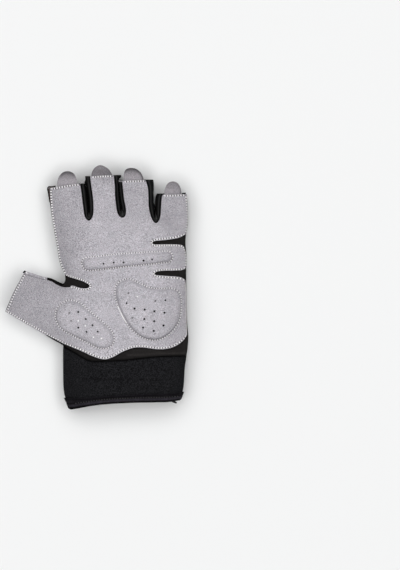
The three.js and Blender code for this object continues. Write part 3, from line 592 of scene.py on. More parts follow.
def times(tree, a, b):
    """One colour multiplied by another."""
    return node(tree, "Mix", "Result", {"data_type": "RGBA", "blend_type": "MULTIPLY"}, Factor=1.0, A=a, B=b)


def bumped(tree, bsdf, heights):
    """Bumps, each a height socket, its depth in millimetres and its strength."""
    last = {}
    for value, depth, strength in heights:
        bump = node(tree, "Bump", "Normal", Height=value, Distance=depth * MM, Strength=strength, **last)
        last = {"Normal": bump}
    plug(tree, bsdf, **last)


# Painted shade across the palm and across the fingers, darker where their sides curve away from the light:
# millimetres, share.
PAINTED_SHADE_ACROSS = [
    (-70, 0.77), (-45, 0.79), (-28, 0.78), (-18, 0.83), (-10, 0.90), (-2, 0.98), (10, 1.0), (36, 1.0),
    (46, 0.95), (54, 0.88), (62, 0.82), (70, 0.90),
]
FINGER_PAINTED_SHADE = [
    (-38, 0.76), (-28, 0.80), (-18, 0.83), (-12, 0.86), (-2, 0.93), (6, 0.95), (16, 0.92), (28, 0.86),
    (38, 0.85), (50, 0.82), (60, 0.77), (70, 0.83),
]
# Soft patches where the suede is made lighter or darker: x, y, width, height, change.
PATCHES = [
    (-20, -24, 17, 19, 0.19), (46, -12, 18, 22, 0.08), (20, 21, 38, 5, 0.07), (-8, 52, 16, 10, 0.06),
    (53, 51, 7, 6, -0.12), (-20, 30, 9, 5, -0.05), (-66, -12, 7, 9, -0.12), (66, 58, 5, 16, 0.08),
    (6, 85, 9, 5, -0.27),
]
# Painted shade in the quilting where a pad's outline faces right, up, left and down, painted lighter where
# the strength is below zero: how far in, strength.
QUARTERS = np.radians([0, 90, 180, 270])
QUILT_SHADES = {
    "bar_pad": ((0.1, 0.5, 0.4, 0.3), (0.12, -0.3, 0.17, 0.58)),
    "heel_pad": ((0.85, 0.4, 1.5, 0.7), (0.3, -0.1, 0.25, 0.52)),
    "thumb_pad": ((0.1, 0.5, 1.0, 0.6), (0.13, -0.15, 0.25, 0.25)),
}
# Lines of shade, change and width: along the cut edge, made lighter there, and round the holes, in painted
# shade; and painted shade beside the heel's seam, where the suede curls away.
EDGE_SHADE, HOLE_SHADE = (0.12, 0.35), (-0.12, 0.45)
HEEL_INSET, HEEL_DARK, HEEL_WIDTH = 2.3, -0.16, 0.5
RIDGE_INSET, RIDGE_WIDTH, GROOVE_WIDTH = 0.85, 0.6, 0.62
# Painted highlight along the raised stitched edges, and painted shade where the change is below zero.
RIDGE_LIGHT_AND_SHADE = {
    "slotIndexMiddle": 0.24, "slotMiddleRing": 0.2, "slotRingLittle": 0.22, "littleSide": 0.17,
    "upperSlitTop": 0.15, "lobeSide": 0.14, "lowerSlitTop": 0.17, "heelSide": 0.3, "heelBottom": 0.17,
    "crotchBottom": 0.18, "crotchTop": 0.25, "thumbBottom": -0.12, "thumbHem": -0.2, "ringHem": -0.07,
    "littleHem": -0.07,
}


def toned(tree, bsdf, colour):
    """Gives the material the colour times the mesh's own shade, which can hold painted light and shade."""
    shade = node(tree, "Attribute", "Fac", {"attribute_name": "shade"})
    plug(tree, bsdf, Base_Color=times(tree, colour, shade))


def suede(name, level, tint, flecks=0.6):
    """Napped synthetic suede: mottled grey with a fine nap."""
    gloss = {"Sheen_Weight": 0.12, "Sheen_Roughness": 0.5, "Specular_IOR_Level": 0.15}
    mat, tree, bsdf = shader(name, grey(level, tint), 0.95, **gloss)
    mm = millimetres(tree)
    colour = mottled(tree, cloud(tree, mm, 2.1, 2), level, tint, flecks, flecks)
    for size, detail, stops in (
        (0.075, 3, [(0.35, (0.93, 0.93, 0.94)), (0.65, (1.05, 1.04, 1.05))]),
        (0.7, 2, [(0.38, (1.01, 0.99, 1.0)), (0.62, (0.99, 1.0, 1.01))]),
    ):
        colour = times(tree, colour, ramp(tree, cloud(tree, mm, size, detail), stops))
    toned(tree, bsdf, colour)
    bumped(tree, bsdf, [(cloud(tree, mm, 1.5, 4, 0.75), 0.14, 0.7), (cloud(tree, mm, 5, 2), 0.05, 0.5)])
    return mat


def weave(tree, size, turn, squash=1.0):
    """Threads crossing at right angles, as a height."""
    waves = {"Vector": millimetres(tree, (1, squash, 1), turn), "Scale": 1 / size * 0.314}
    waves.update(Distortion=1.2, Detail_Scale=1.5)
    crossing = node(tree, "Math", "Value", {"operation": "MULTIPLY"})
    for direction, socket in zip(("X", "Y"), crossing.node.inputs):
        form = {"bands_direction": direction, "wave_profile": "SIN"}
        tree.links.new(node(tree, "TexWave", "Fac", form, **waves), socket)
    return crossing


def cloth_black(name, colour, roughness, thread, specular, turn=0.4, depth=0.12, grain=0.25, squash=1.0):
    """Black cloth: fine threads, a grain in its colour times the mesh's own shade, which can hold painted
    light and shade, and a fine bumpy surface.
    """
    mat, tree, bsdf = shader(name, colour, roughness, Specular_IOR_Level=specular)
    mm = millimetres(tree)
    toned(tree, bsdf, mottled(tree, cloud(tree, mm, 1.5, 3, 0.75), 1, colour, grain, 2 * grain))
    bumped(tree, bsdf, [(weave(tree, thread, turn, squash), depth, 0.7), (cloud(tree, mm, 0.5, 3), 0.1, 0.3)])
    return mat


def thread_material(name, colour):
    """Twisted sewing thread."""
    mat, tree, bsdf = shader(name, colour, 0.7, Sheen_Weight=0.2)
    mm = millimetres(tree)
    shade = ramp(tree, cloud(tree, mm, 0.6, 2), [(0.35, grey(0.86, colour)), (0.65, colour)])
    plug(tree, bsdf, Base_Color=shade)
    bumped(tree, bsdf, [(cloud(tree, mm, 6, 2), 0.08, 0.5)])
    return mat


PALM_SUEDE = suede("palm_suede_mat", 0.465, (1.0, 0.970, 1.027))
THUMB_SUEDE = suede("thumb_suede_mat", 0.44, (1.0, 0.97, 1.03))
TAB_SUEDE = suede("tab_suede_mat", 1.0, (1.0, 0.95, 1.0), 0.4)
STRETCH_MAT = cloth_black("stretch_mat", (0.0125, 0.0112, 0.011), 0.8, 0.45, 0.1)
BACK_MAT = cloth_black("back_mat", (0.0075, 0.0066, 0.0066), 0.9, 0.5, 0.0)
WALL_MAT = cloth_black("fourchette_mat", (0.03, 0.03, 0.0305), 0.5, 0.3, 0.06, 0.1, 0.03, 0.15)
CUFF_MAT = cloth_black("cuff_mat", (0.0112, 0.0113, 0.0125), 0.9, 0.55, 0.0, 0.78, 0.1, 0.85)
TAPE_MAT = cloth_black("tape_mat", (0.0205, 0.0185, 0.0235), 0.8, 0.5, 0.05, 0.0, 0.15, 0.5, 0.6)
FOAM_MAT = suede("foam_mat", 0.75, (1, 1, 1), 0.08)
THREAD_MAT = thread_material("thread_mat", (0.96, 0.94, 0.95))
EDGE_THREAD_MAT = thread_material("slot_thread_mat", (0.52, 0.50, 0.53))
HEEL_THREAD_MAT = thread_material("heel_thread_mat", (0.62, 0.57, 0.52))
BROWN_MAT = thread_material("hem_fold_mat", (0.075, 0.045, 0.04))
GREY_THREAD_MAT = thread_material("grey_thread_mat", (0.1, 0.09, 0.1))
BLACK_THREAD_MAT = thread_material("black_thread_mat", (0.004, 0.0035, 0.004))
# Needle holes: small dark marks of painted shade laid between the stitches.
PIT_SHADE_MAT = shader("needle_hole_shade_mat", (0.07, 0.065, 0.07), 1.0)[0]


# Camera, floor and light. The photo is 400 by 570 pixels, each 0.77 mm on the palm.
PHOTO_W, PHOTO_H, PIXEL = 400, 570, 0.77
ORIGIN_X, ORIGIN_Y = 97.0, 287.1
CAMERA_Z, PALM_LEVEL, SENSOR = 2.5, 0.009, 36
camera = linked("camera", bpy.data.cameras.new("camera"))
camera.location.x = (PHOTO_W / 2 - ORIGIN_X) * PIXEL * MM
camera.location.y = (ORIGIN_Y - PHOTO_H / 2) * PIXEL * MM
camera.location.z = CAMERA_Z
camera.data.sensor_width = SENSOR
camera.data.lens = SENSOR * (CAMERA_Z - PALM_LEVEL) / (PHOTO_H * PIXEL * MM)
camera.data.clip_end = 100
bpy.context.scene.camera = camera

FLOOR = 8
floor_mesh = bpy.data.meshes.new("floor")
corners = [(-FLOOR, -FLOOR, 0), (FLOOR, -FLOOR, 0), (FLOOR, FLOOR, 0), (-FLOOR, FLOOR, 0)]
floor_mesh.from_pydata(corners, [], [(0, 1, 2, 3)])
floor_mesh.materials.append(shader("floor_mat", (0.88, 0.885, 0.885), 0.9, Specular_IOR_Level=0.1)[0])
floor = linked("floor", floor_mesh)

light = bpy.data.lights.new("key_light", "AREA")
light.shape = "DISK"
light.size = 0.6
light.energy = 3.5
lamp = linked("key_light", light)
lamp.location = (-0.3, 0.7, 2.2)
lamp.rotation_euler = (-lamp.location).to_track_quat("-Z", "Y").to_euler()

# The soft light all round: sine of the height above the horizon, strength.
SKY = [(0, 0.10), (0.42, 0.21), (0.56, 2.32), (0.70, 2.32), (0.84, 0.32), (1, 0.26)]
SKY_STRENGTH = 3


def soft_sky():
    """A white dome, brightest in a ring 34 to 44 degrees up."""
    world = bpy.data.worlds.new("world")
    world.use_nodes = True
    tree = world.node_tree
    up = node(tree, "SeparateXYZ", "Z", Vector=node(tree, "TexCoord", "Generated"))
    level = ramp(tree, up, [(at, grey(strength / SKY_STRENGTH)) for at, strength in SKY])
    plug(tree, tree.nodes["Background"], Color=level, Strength=SKY_STRENGTH)
    bpy.context.scene.world = world


soft_sky()
bpy.context.scene.view_settings.view_transform = "Standard"


# Palm suede, with its air holes.
def circle(x, y, radius, sides=12):
    a = np.linspace(0, 2 * np.pi, sides, endpoint=False)
    return np.stack([x + radius * np.cos(a), y + radius * np.sin(a)], axis=1)


RINGS = [circle(x, y, HOLE_RADII[tone]) for x, y, tone in HOLES]


def hole_gap(xy):
    """Distance of each point to the nearest air hole's rim."""
    return np.min([np.hypot(*(xy - [x, y]).T) - HOLE_RADII[tone] for x, y, tone in HOLES], axis=0)


def suede_painted_shade(xy):
    """Painted shade and light on the suede: across the hand, in the quilting, along cut and stitched edges,
    beside the heel and round the holes, with soft lighter and darker patches.
    """
    x, y = xy.T
    level = np.interp(x, *np.transpose(PAINTED_SHADE_ACROSS))
    level += (np.interp(x, *np.transpose(FINGER_PAINTED_SHADE)) - level) * smooth(y, 36, 66)
    level *= 1 + sum(
        change * np.exp(-(((x - at_x) / wide) ** 2) - ((y - at_y) / high) ** 2)
        for at_x, at_y, wide, high, change in PATCHES
    )
    for name, line in PAD_LINES.items():
        past, faces = beside(xy, line)
        where, strength = (np.interp(faces, QUARTERS, row, period=2 * np.pi) for row in QUILT_SHADES[name])
        level *= lined(past - where, -strength, GROOVE_WIDTH)
    level *= lined(edge_gap(xy), *EDGE_SHADE)
    for name, change in RIDGE_LIGHT_AND_SHADE.items():
        level *= lined(distance(xy, curve(EDGES[name], MEDIUM)) - RIDGE_INSET, change, RIDGE_WIDTH)
    right = side_x(SEAMS["right"], y) - x
    heel = smooth(-y, -6, -2) * smooth(y, -38, -30)
    level *= lined(right - HEEL_INSET, HEEL_DARK * heel, HEEL_WIDTH)
    return level * lined(hole_gap(xy), *HOLE_SHADE)


def palm_suede():
    loops = [SUEDE_LOOP, *RINGS]
    rows = [moved_loop(SUEDE_LOOP, by) for by in EDGE_ROWS]
    rows += [curve(moved_loop(line, by), FINE, True) for line in PAD_LINES.values() for by in PAD_ROWS]
    rows = np.vstack(rows)
    rows = rows[inside(rows, SUEDE_LOOP) & (edge_gap(rows) > ROWS_CLEAR)]
    inner = lattice(loops, FINE, 0.5)
    inner = inner[(edge_gap(inner) > EDGE_CLEAR) & (hole_gap(inner) > HOLE_CLEAR)]
    for line in PAD_LINES.values():
        inner = inner[distance(inner, line, True) > PAD_CLEAR]
    rings = [circle(x, y, HOLE_RADII[tone] + HOLE_RING) for x, y, tone in HOLES]
    xy, faces = flat_mesh(loops, np.vstack([thinned(rows, ROWS_APART), inner, *rings]))
    place, n = suede_surface(xy)
    off = suede_offset(xy) - HOLE_DIP * bell(hole_gap(xy) / HOLE_DIP_WIDTH)
    return slab(place, n, off, GAP + swell(xy), faces), suede_painted_shade(xy)


add("palm_suede", *palm_suede(), PALM_SUEDE, "palm_suede", ["palm_panel"])


# Foam pads, punched where the air holes go through.
def foam_pad(name):
    rim = moved_loop(curve(PADS[name][1], 1.4, True), PAD_INSET)
    mine = [hole for hole in HOLES if inside(np.array([hole[:2]]), rim)[0]]
    loops = [rim, *(circle(x, y, FOAM_HOLE, FOAM_SIDES) for x, y, tone in mine if tone not in PLUG_TONES)]
    xy, faces = flat_mesh(loops, lattice(loops, 1.5, 0.6))
    place, n = surface(xy)
    parts = [slab(place, n, swell(xy) - FOAM_SLACK, GAP, faces)]
    shades = [np.ones(2 * len(xy))]
    for x, y, tone in mine:
        if tone in PLUG_TONES:
            deep, level = PLUG_TONES[tone]
            disc, tris = flat_mesh([circle(x, y, HOLE_RADII[tone] - 0.05, FOAM_SIDES)], np.array([[x, y]]))
            at, up = surface(disc)
            high = suede_offset(disc) - deep
            parts.append(slab(at, up, high, high - PLUG_DEPTH, tris))
            shades.append(np.full(2 * len(disc), level))
    return merged(parts), np.concatenate(shades)


for pad in PADS:
    add(pad + "_foam", *foam_pad(pad), FOAM_MAT, "pad_foam", [pad])


# Stitches: short lengths of thread that dip into the cloth at both ends.
STITCH_FAT = np.array([0.45, 0.85, 1, 1, 1, 0.85, 0.45])
STITCH_SIDES, STITCH_SUNK = 6, 0.12
# Height of a stitch and of a needle hole's dark mark of painted shade, and the share of the stitch's width
# that it has.
STITCH_HIGH, PIT_HIGH, PIT_WIDTH = 0.2, 0.04, 0.7


def stitches(at, along, up, length, width, high):
    """One small mesh for each stitch, from middles, directions and normals."""
    n, m = STITCH_SIDES, STITCH_SIDES * len(STITCH_FAT)
    count = len(at)
    at, along, up, across = (rows[:, None, None] for rows in (at, along, up, np.cross(up, along)))
    t, fat = (np.reshape(row, (-1, 1, 1)) for row in (np.linspace(-1, 1, len(STITCH_FAT)), STITCH_FAT))
    a = column(np.linspace(0, 2 * np.pi, n, endpoint=False))
    ring = at + along * (t * length / 2) + up * (high * (1 - t**2) - STITCH_SUNK)
    ring = ring + across * (fat * np.cos(a) * width / 2) + up * (fat * np.sin(a) * width / 3)
    first = []
    for r in range(0, m - n, n):
        first += [(r + k, r + (k + 1) % n, r + n + (k + 1) % n, r + n + k) for k in range(n)]
    first += [tuple(range(n))[::-1], tuple(range(m - n, m))]
    faces = [tuple(v + start for v in f) for start in range(0, m * count, m) for f in first]
    return ring.reshape(-1, 3), faces


def on_suede(xy, lift=0.0):
    place, n = suede_surface(xy)
    return place + n * (suede_offset(xy) + lift)[:, None], n


def suede_seam(line, pitch, length, width, closed=False, turn=0.0, lift=0.0):
    """Stitches and dark marks of painted shade for the needle holes between them, along a line on the suede,
    each turned so far.
    """
    line = curve(line if closed else line[:: max(1, len(line) // 60)], pitch, closed)
    if closed:
        middle = line
        direction = unit(np.roll(line, -1, axis=0) - np.roll(line, 1, axis=0))
    else:
        middle = (line[1:] + line[:-1]) / 2
        direction = unit(line[1:] - line[:-1])
    c, s = np.cos(turn), np.sin(turn)
    turned = direction @ np.array([[c, s], [-s, c]])
    pit = length * 0.8 if turn else pitch - length + 0.3
    between = middle + direction * pitch / 2
    both = []
    kinds = (middle, length, width, STITCH_HIGH), (between, pit, width * PIT_WIDTH, PIT_HIGH)
    for place, *size in kinds:
        at, _ = on_suede(place)
        along, across = (on_suede(place + step * 0.3)[0] - at for step in (turned, turned_left(turned)))
        along = unit(along)
        up = unit(np.cross(along, across))
        both.append(stitches(at + up * lift, along, up, *size))
    return both


def edge_run(name, inset):
    """An edge of the suede moved into it, shortened at its ends."""
    line = moved(curve(EDGES[name], CLOSE), -inset)
    return line[edge_gap(line) > (inset - SUEDE_TRIM) * 0.93]


# White stitching along the edges: pitch, and how far in.
WHITE_RUNS = {
    "indexHem": (1.97, 0.9), "middleHem": (2.0, 0.95), "ringHem": (1.93, 0.95), "littleHem": (2.04, 1.1),
    "littleSide": (2.0, 1.12), "upperSlitTop": (2.02, 1.25), "upperSlitEnd": (1.9, 1),
    "upperSlitBottom": (1.9, 1), "lobeSide": (2.12, 1.4), "lowerSlitTop": (1.84, 1), "lowerSlitEnd": (1.9, 1),
    "lowerSlitBottom": (2.11, 1.3), "heelBottom": (2.09, 1.15), "thumbBottom": (1.9, 1.3),
    "crotchBottom": (1.82, 1.2), "crotchTip": (1.8, 1), "crotchTop": (1.78, 1), "indexSide": (2.02, 1.15),
}
# Width of the white thread, also along the sides, and the share of its pitch that a stitch takes.
THREAD, SIDE_THREAD, THREAD_SHARE = 1.35, 1.6, 0.6
seams = []
for run, (pitch, inset) in WHITE_RUNS.items():
    width = SIDE_THREAD if run.endswith("Side") else THREAD
    seams.append(suede_seam(edge_run(run, inset), pitch, pitch * THREAD_SHARE, width, lift=0.06))
for line in PAD_LINES.values():
    seams.append(suede_seam(moved_loop(line, 0.08), 1.95, 1.15, 1.15, closed=True, lift=0.12))
thumb_hem = curve(EDGES["thumbHem"], CLOSE)
seams.append(suede_seam(moved(thumb_hem, -1.4), 1.96, 1.5, 0.95, turn=np.radians(71)))
threads, pits = map(list, zip(*seams))
line = PAD_LINES["heel_pad"]
line = line[(line[:, 0] < 26) & (line[:, 1] < -13.5) & (line[:, 1] > -28)]
threads.append(cord(on_suede(line, 0.3)[0], 0.9, 0.5))
add_threads("palm_stitches", threads, THREAD_MAT, "palm_suede")
add_threads("palm_needle_hole_shades", pits, PIT_SHADE_MAT, "palm_suede")
slot_runs = [suede_seam(edge_run(slot, 0.7), 1.9, 1.15, 0.4)[0] for slot in SLOTS]
add_threads("slot_stitches", slot_runs, EDGE_THREAD_MAT, "palm_suede")
heel_run = suede_seam(edge_run("heelSide", 1.05), 2.0, 1.2, 0.8)[0]
add_threads("heel_stitches", [heel_run], HEEL_THREAD_MAT, "palm_suede")
hem_edge = cord(on_suede(moved(thumb_hem, -0.2))[0], 0.3, 0.3)
add_threads("thumb_hem_edge", [hem_edge], GREY_THREAD_MAT, "palm_suede")


# The stretch layer below the suede, seen in the slits, at the thumb and above the cuff.
def palm_stretch():
    index, lower, right = (curve(rows, MEDIUM)[:, :2] for rows in SEAMS.values())
    index = index[(index[:, 1] < INDEX_END) & (index[:, 0] > THUMB_END)]
    lower = above_cuff(lower[lower[:, 0] > THUMB_END], 0.4)
    right = above_cuff(right[right[:, 1] < RIGHT_END], 0.4)
    seam = curve(CUFF_SEAM, MEDIUM)
    low, high = (side_x(SEAMS[name], seam[:, 1]) for name in ("lower", "right"))
    seam = seam[(seam[:, 0] > low) & (seam[:, 0] < high)] + [0, SEAM_CLEAR]
    loop = np.vstack([curve(BASE_TOP, MEDIUM), right, seam[::-1], lower[::-1], index[::-1]])
    xy, faces = flat_mesh([loop], lattice([loop], 1.4, 0.8))
    place, n = surface(xy)
    fold = 0.5 * bell(distance(xy, curve(FOLD, 2)) / 1.3)
    off = -SLACK + fold * smooth(-xy[:, 1], 40, 47) + np.minimum(0.15 * wander(xy, 5, 1.7), 0.1)
    shine = 1
    for rows, strength, width in HIGHLIGHTS:
        shine = shine + strength * bell(distance(xy, curve(rows, 2)) / width)
    # Painted shade along the cuff's seam.
    shine *= lined(xy[:, 1] - line_y(CUFF_SEAM, xy[:, 0]), -0.9, 0.7)
    return slab(place, n, off, -SLACK - STRETCH, faces), shine


add("palm_stretch", *palm_stretch(), STRETCH_MAT, "stretch", ["palm_base"])


# Side walls of the finger slots: a recess beside the suede, then a rolled band that faces its neighbour.
WALL_PROFILE = [
    (-1.0, 0.0, 0.0, 0.1), (-0.2, 0.0, 0.0, 0.4), (0.15, 0.0, 0.0, 1.7), (0.6, 0.0, 0.0, 1.9),
    (1.1, 0.03, 0.0, 0.9), (1.6, 0.05, 0.0, 0.6), (1.9, 0.2, 0.03, 1.0), (0.4, 0.75, 0.12, 1.1),
    (0.0, 0.96, 0.25, 1.0), (0.0, 1.0, 0.5, 0.3), (0.0, 0.9, 0.85, 0.0), (0.0, 0.5, 1.0, 0.0),
    (-1.0, 0.0, 1.0, 0.0),
]
# Painted sheen across a wall, with painted shade in the recess and the valley: millimetres from the suede's
# edge, share.
WALL_PAINTED_SHEEN = [
    (-1, 0.3), (0.2, 0.36), (0.85, 0.42), (1.4, 1.1), (1.9, 0.9), (2.3, 0.32), (2.7, 0.12), (3.2, 0.08),
]
WALL_THICK, WALL_STEP, WALL_COLUMNS = 0.5, 0.45, 26
# How often a wall's directions are smoothed, and over what length they turn sideways at its ends.
WALL_SMOOTHINGS, WALL_TURN = 6, 3


def wall_bulges(line, lowest, bulges, touch):
    """How far a slot's wall comes out at each point of the line, as far as the middle of the slot."""
    left, right, left_end, right_end = bulges
    away = np.hypot(*(line - line[lowest]).T)
    is_left = np.arange(len(line)) < lowest
    reach = np.where(is_left, away[0], away[-1])
    full = np.where(is_left, left, right)
    full = full + (np.where(is_left, left_end, right_end) - full) * smooth(away, reach - WALL_FLARE, reach)
    room = np.where(is_left, distance(line, line[lowest:]), distance(line, line[: lowest + 1])) / 2
    past = np.where(is_left, line[:, 1] - line[-1, 1], line[:, 1] - line[0, 1])
    full += 1.5 * smooth(touch - line[:, 1], -1, 3)
    full = np.minimum(full, room - 0.02 + np.maximum(0, past))
    return CROTCH_BULGE + (full - CROTCH_BULGE) * smooth(away, 0, WALL_OPENS)


def fourchette(name):
    line = curve(EDGES[name], CLOSE)
    bulges, touch, (over_left, over_right) = WALLS[name]
    first, last = line[0] - line[1], line[-1] - line[-2]
    line = np.vstack([line[0] + first / CLOSE * over_left, line, line[-1] + last / CLOSE * over_right])
    lowest = int(np.argmin(line[:, 1]))
    bulges = wall_bulges(line, lowest, bulges, touch)
    out = normals(line)
    for _ in range(WALL_SMOOTHINGS):
        out[1:-1] = (out[:-2] + out[1:-1] + out[2:]) / 3
    from_ends = np.minimum(*(np.hypot(*(line - line[end]).T) for end in (0, -1)))
    ends = column(np.clip(1 - from_ends / WALL_TURN, 0, 1))
    out = unit(out * (1 - ends) + ends * [[1, 0] if k < lowest else [-1, 0] for k in range(len(line))])
    highs, low = height(line) - 0.05, BACK + GAP
    ripple = 0.16 * wander(line, 4.5, 2.2) + 0.08 * wander(line, 1.8, 5.2)
    rings, sheen = [], []
    fixed, share, drop, below = np.transpose(WALL_PROFILE)
    for (x, y), (nx, ny), bulge, high, wave in zip(line, out, bulges, highs, ripple):
        own = fixed * np.where(fixed > 0, min(1, bulge / 3), 1)
        over = own + share * (bulge - np.maximum(own, 0))
        rows = np.column_stack([over, high - drop * (high - low) - below])
        rows[4:7, 1] += wave
        outer = curve(rows, WALL_STEP)
        outer = outer[np.linspace(0, len(outer) - 1, WALL_COLUMNS).round().astype(int)]
        row = np.vstack([outer, moved(outer, -WALL_THICK)[::-1]])
        rings.append(np.column_stack([x + nx * row[:, 0], y + ny * row[:, 0], row[:, 1]]))
        # Painted highlight, strongest at the crotch, times the wall's painted sheen and shade.
        crotch_highlight = lined(np.hypot(x - line[lowest, 0], y - line[lowest, 1]), 0.9, 3.5)
        sheen.append(crotch_highlight * np.interp(row[:, 0], *np.transpose(WALL_PAINTED_SHEEN)))
    return skinned(rings, False), np.concatenate(sheen)


for slot, fingers in zip(SLOTS, ("index_middle", "middle_ring", "ring_little")):
    add("slot_wall_" + fingers, *fourchette(slot), WALL_MAT, "fourchette", ["fourchette_" + fingers])


# Pale frayed threads at the walls' ends: x, y and length along x.
FRAYS = [(-12.4, 80.5, 0.9), (-11.2, 80.7, 0.7), (-10.1, 80.9, 0.8), (17.3, 81.5, 0.8), (18.6, 81.3, 1.0)]
ends = []
for x, y, long in FRAYS:
    high = height(np.array([[x, y]]))[0] - 0.1
    ends.append(strand([[x - long / 2, y, high], [x + long / 2, y + 0.1, high]], 0.3, 0.5, 0.5))
add_threads("slot_frays", ends, EDGE_THREAD_MAT, "fourchette")


# The back: a flat panel below with its sides turned up to the seams, cut in two at the thumb.
BACK_STEP, HEM_STEP, SIDE_POINTS = 1.6, 1.4, 19


def back_seam(xy):
    """Height of the side walls' top, lower where the stretch layer lies over it."""
    covered = (xy[:, 1] < INDEX_END + 4) & (xy[:, 0] > THUMB_END - 4)
    return np.where(covered, SEAM_Z - SLACK - STRETCH - GAP, SEAM_Z)


def back_pieces():
    left, lower, right = (above_cuff(curve(rows, BACK_STEP), SEAM_CLEAR) for rows in SEAMS.values())
    sides = [left[::-1], right, lower[::-1]]
    feet = [moved(line, -BACK_ROUND) for line in sides]
    seam = curve(CUFF_SEAM, BACK_STEP) + [0, SEAM_CLEAR]
    seam = seam[(seam[:, 0] > feet[2][0, 0] + 0.5) & (seam[:, 0] < feet[1][-1, 0] - 0.5)]
    fingers = np.vstack([curve(EDGES[name], HEM_STEP)[:-1] for name in FINGERTIPS])[1:]
    outline = np.vstack([feet[0], fingers, feet[1], seam[::-1], feet[2]])
    xy, faces = flat_mesh([outline], lattice([outline], 2.2, 1.1))
    half = BACK / 2
    sag = 0.05 * np.abs(wander(xy, 12, 4.4))
    sheet = np.column_stack([xy, half + sag * smooth(distance(xy, outline, True), 0.5, 4)])
    bm = bmesh.new()
    points = [bm.verts.new(p) for p in sheet]
    for f in faces:
        bm.faces.new([points[i] for i in f])
    angle = np.pi * (np.linspace(0, 1, SIDE_POINTS) - 0.5)
    for line in sides:
        out, high = normals(line), back_seam(line)
        smooth_high = np.convolve(np.pad(high, 2, mode="edge"), np.ones(5) / 5, mode="valid")
        grid = []
        for i, (x, y, bulge) in enumerate(line):
            middle = smooth_high[i] / 2
            side = (bulge + BACK_ROUND - half) * np.cos(angle) - BACK_ROUND
            z = middle + (middle - half) * np.sin(angle)
            grid.append([bm.verts.new((x + out[i, 0] * s, y + out[i, 1] * s, h)) for s, h in zip(side, z)])
        for a, b in zip(grid, grid[1:]):
            for k in range(len(angle) - 1):
                bm.faces.new((a[k], b[k], b[k + 1], a[k + 1]))
    bmesh.ops.remove_doubles(bm, verts=bm.verts, dist=0.02)
    pieces = []
    for side in (1, -1):
        half_mesh = bm.copy()
        geometry = [*half_mesh.verts, *half_mesh.edges, *half_mesh.faces]
        at = (THUMB_SEAM_X + side * 0.01, 0, 0)
        away = (-side, 0, 0)
        bmesh.ops.bisect_plane(half_mesh, geom=geometry, plane_co=at, plane_no=away, clear_outer=True)
        bmesh.ops.recalc_face_normals(half_mesh, faces=half_mesh.faces)
        half_mesh.verts.ensure_lookup_table()
        half_mesh.verts.index_update()
        half_mesh.normal_update()
        place = np.array([v.co[:] for v in half_mesh.verts])
        n = np.array([v.normal[:] for v in half_mesh.verts])
        tris = [np.array([v.index for v in f.verts]) for f in half_mesh.faces]
        pieces.append(slab(place, n, half, -half, tris))
        half_mesh.free()
    bm.free()
    return pieces


back, thumb = back_pieces()
add("back_stretch", back, 1, BACK_MAT, "stretch", ["back_panel"])
add("thumb_back_suede", thumb, 1, THUMB_SUEDE, "thumb_suede", ["thumb_back"])


# Cut ends of the lining and loose threads, seen at the hems.
def on_side(line, out):
    """Points that far out on a turned-up side, whose line has rows x, y, bulge."""
    line, n = np.asarray(line), normals(line)
    reach = line[:, 2] + BACK_ROUND
    turn = np.sqrt(np.clip(1 - ((out + BACK_ROUND) / reach) ** 2, 0, 1))
    return np.column_stack([line[:, :2] + n * out, SEAM_Z / 2 * (1 + turn) + 0.05])


hem = [[-36.3, 65.5, 6.6], [-37.2, 71, 6.8], [-37.8, 76.9, 7], [-35, 77.2, 7.4], [-32, 77.75, 7.8]]
add_threads("index_hem_lining", [strand(hem, 0.7, 1.0, 1.2)], BACK_MAT, "stretch", 0.45)
fold = [[-35.9, 66, 7.4], [-36.6, 71, 7.6], [-37, 76, 7.8], [-36.2, 76.6, 8], [-32, 77.2, 8.3]]
add_threads("index_hem_fold", [strand(fold, 0.6, 0.6, 0.5)], BROWN_MAT, "stretch")
lining = strand([[65.4, 72.0, 8.4], [68.3, 72.2, 7.9]], 0.6, 1.15, 0.9)
add_threads("little_hem_lining", [lining], BACK_MAT, "stretch", 0.5)
line = curve([[-41.0, 5.8, 2.0], [-48, 7.6, 2.3], [-54.2, 9.45, 2.45]], CLOSE)
sides = [cord(on_side(line, 1.6), 0.55, 0.5), cord(on_side(line, 0.1) + [0, 0, 1.15], 0.5, 0.45)]
add_threads("thumb_side_threads", sides, GREY_THREAD_MAT, "thumb_suede")
lining = strand([[-56.6, 11.0, 8.2], [-56.2, 11.7, 7.6], [-55.4, 12.2, 6.8]], 0.3, 1.3, 1.0)
add_threads("thumb_hem_lining", [lining], BACK_MAT, "stretch", 0.5)
ends = [
    strand([[-54.9, 11.0, 8.0], [-54.2, 10.9, 8.1], [-53.6, 10.6, 8.1]], 0.3, 0.9, 0.6),
    strand([[-40.9, 6.9, 7.6], [-40.2, 6.7, 7.7]], 0.25, 0.8, 0.5),
]
add_threads("thumb_thread_ends", ends, THREAD_MAT, "thumb_suede")


# The cuff and its tape.
CUFF_COLUMNS = 88
# Where a crease is painted as a band of shade across the cuff: y, and width.
CREASE_SHADE_Y, CREASE_SHADE_WIDTH = -71, 0.7


def cuff_length(x):
    """Length of the cuff with its tape, along y."""
    return line_y(CUFF_TOP, x) - line_y(CUFF_END, x)


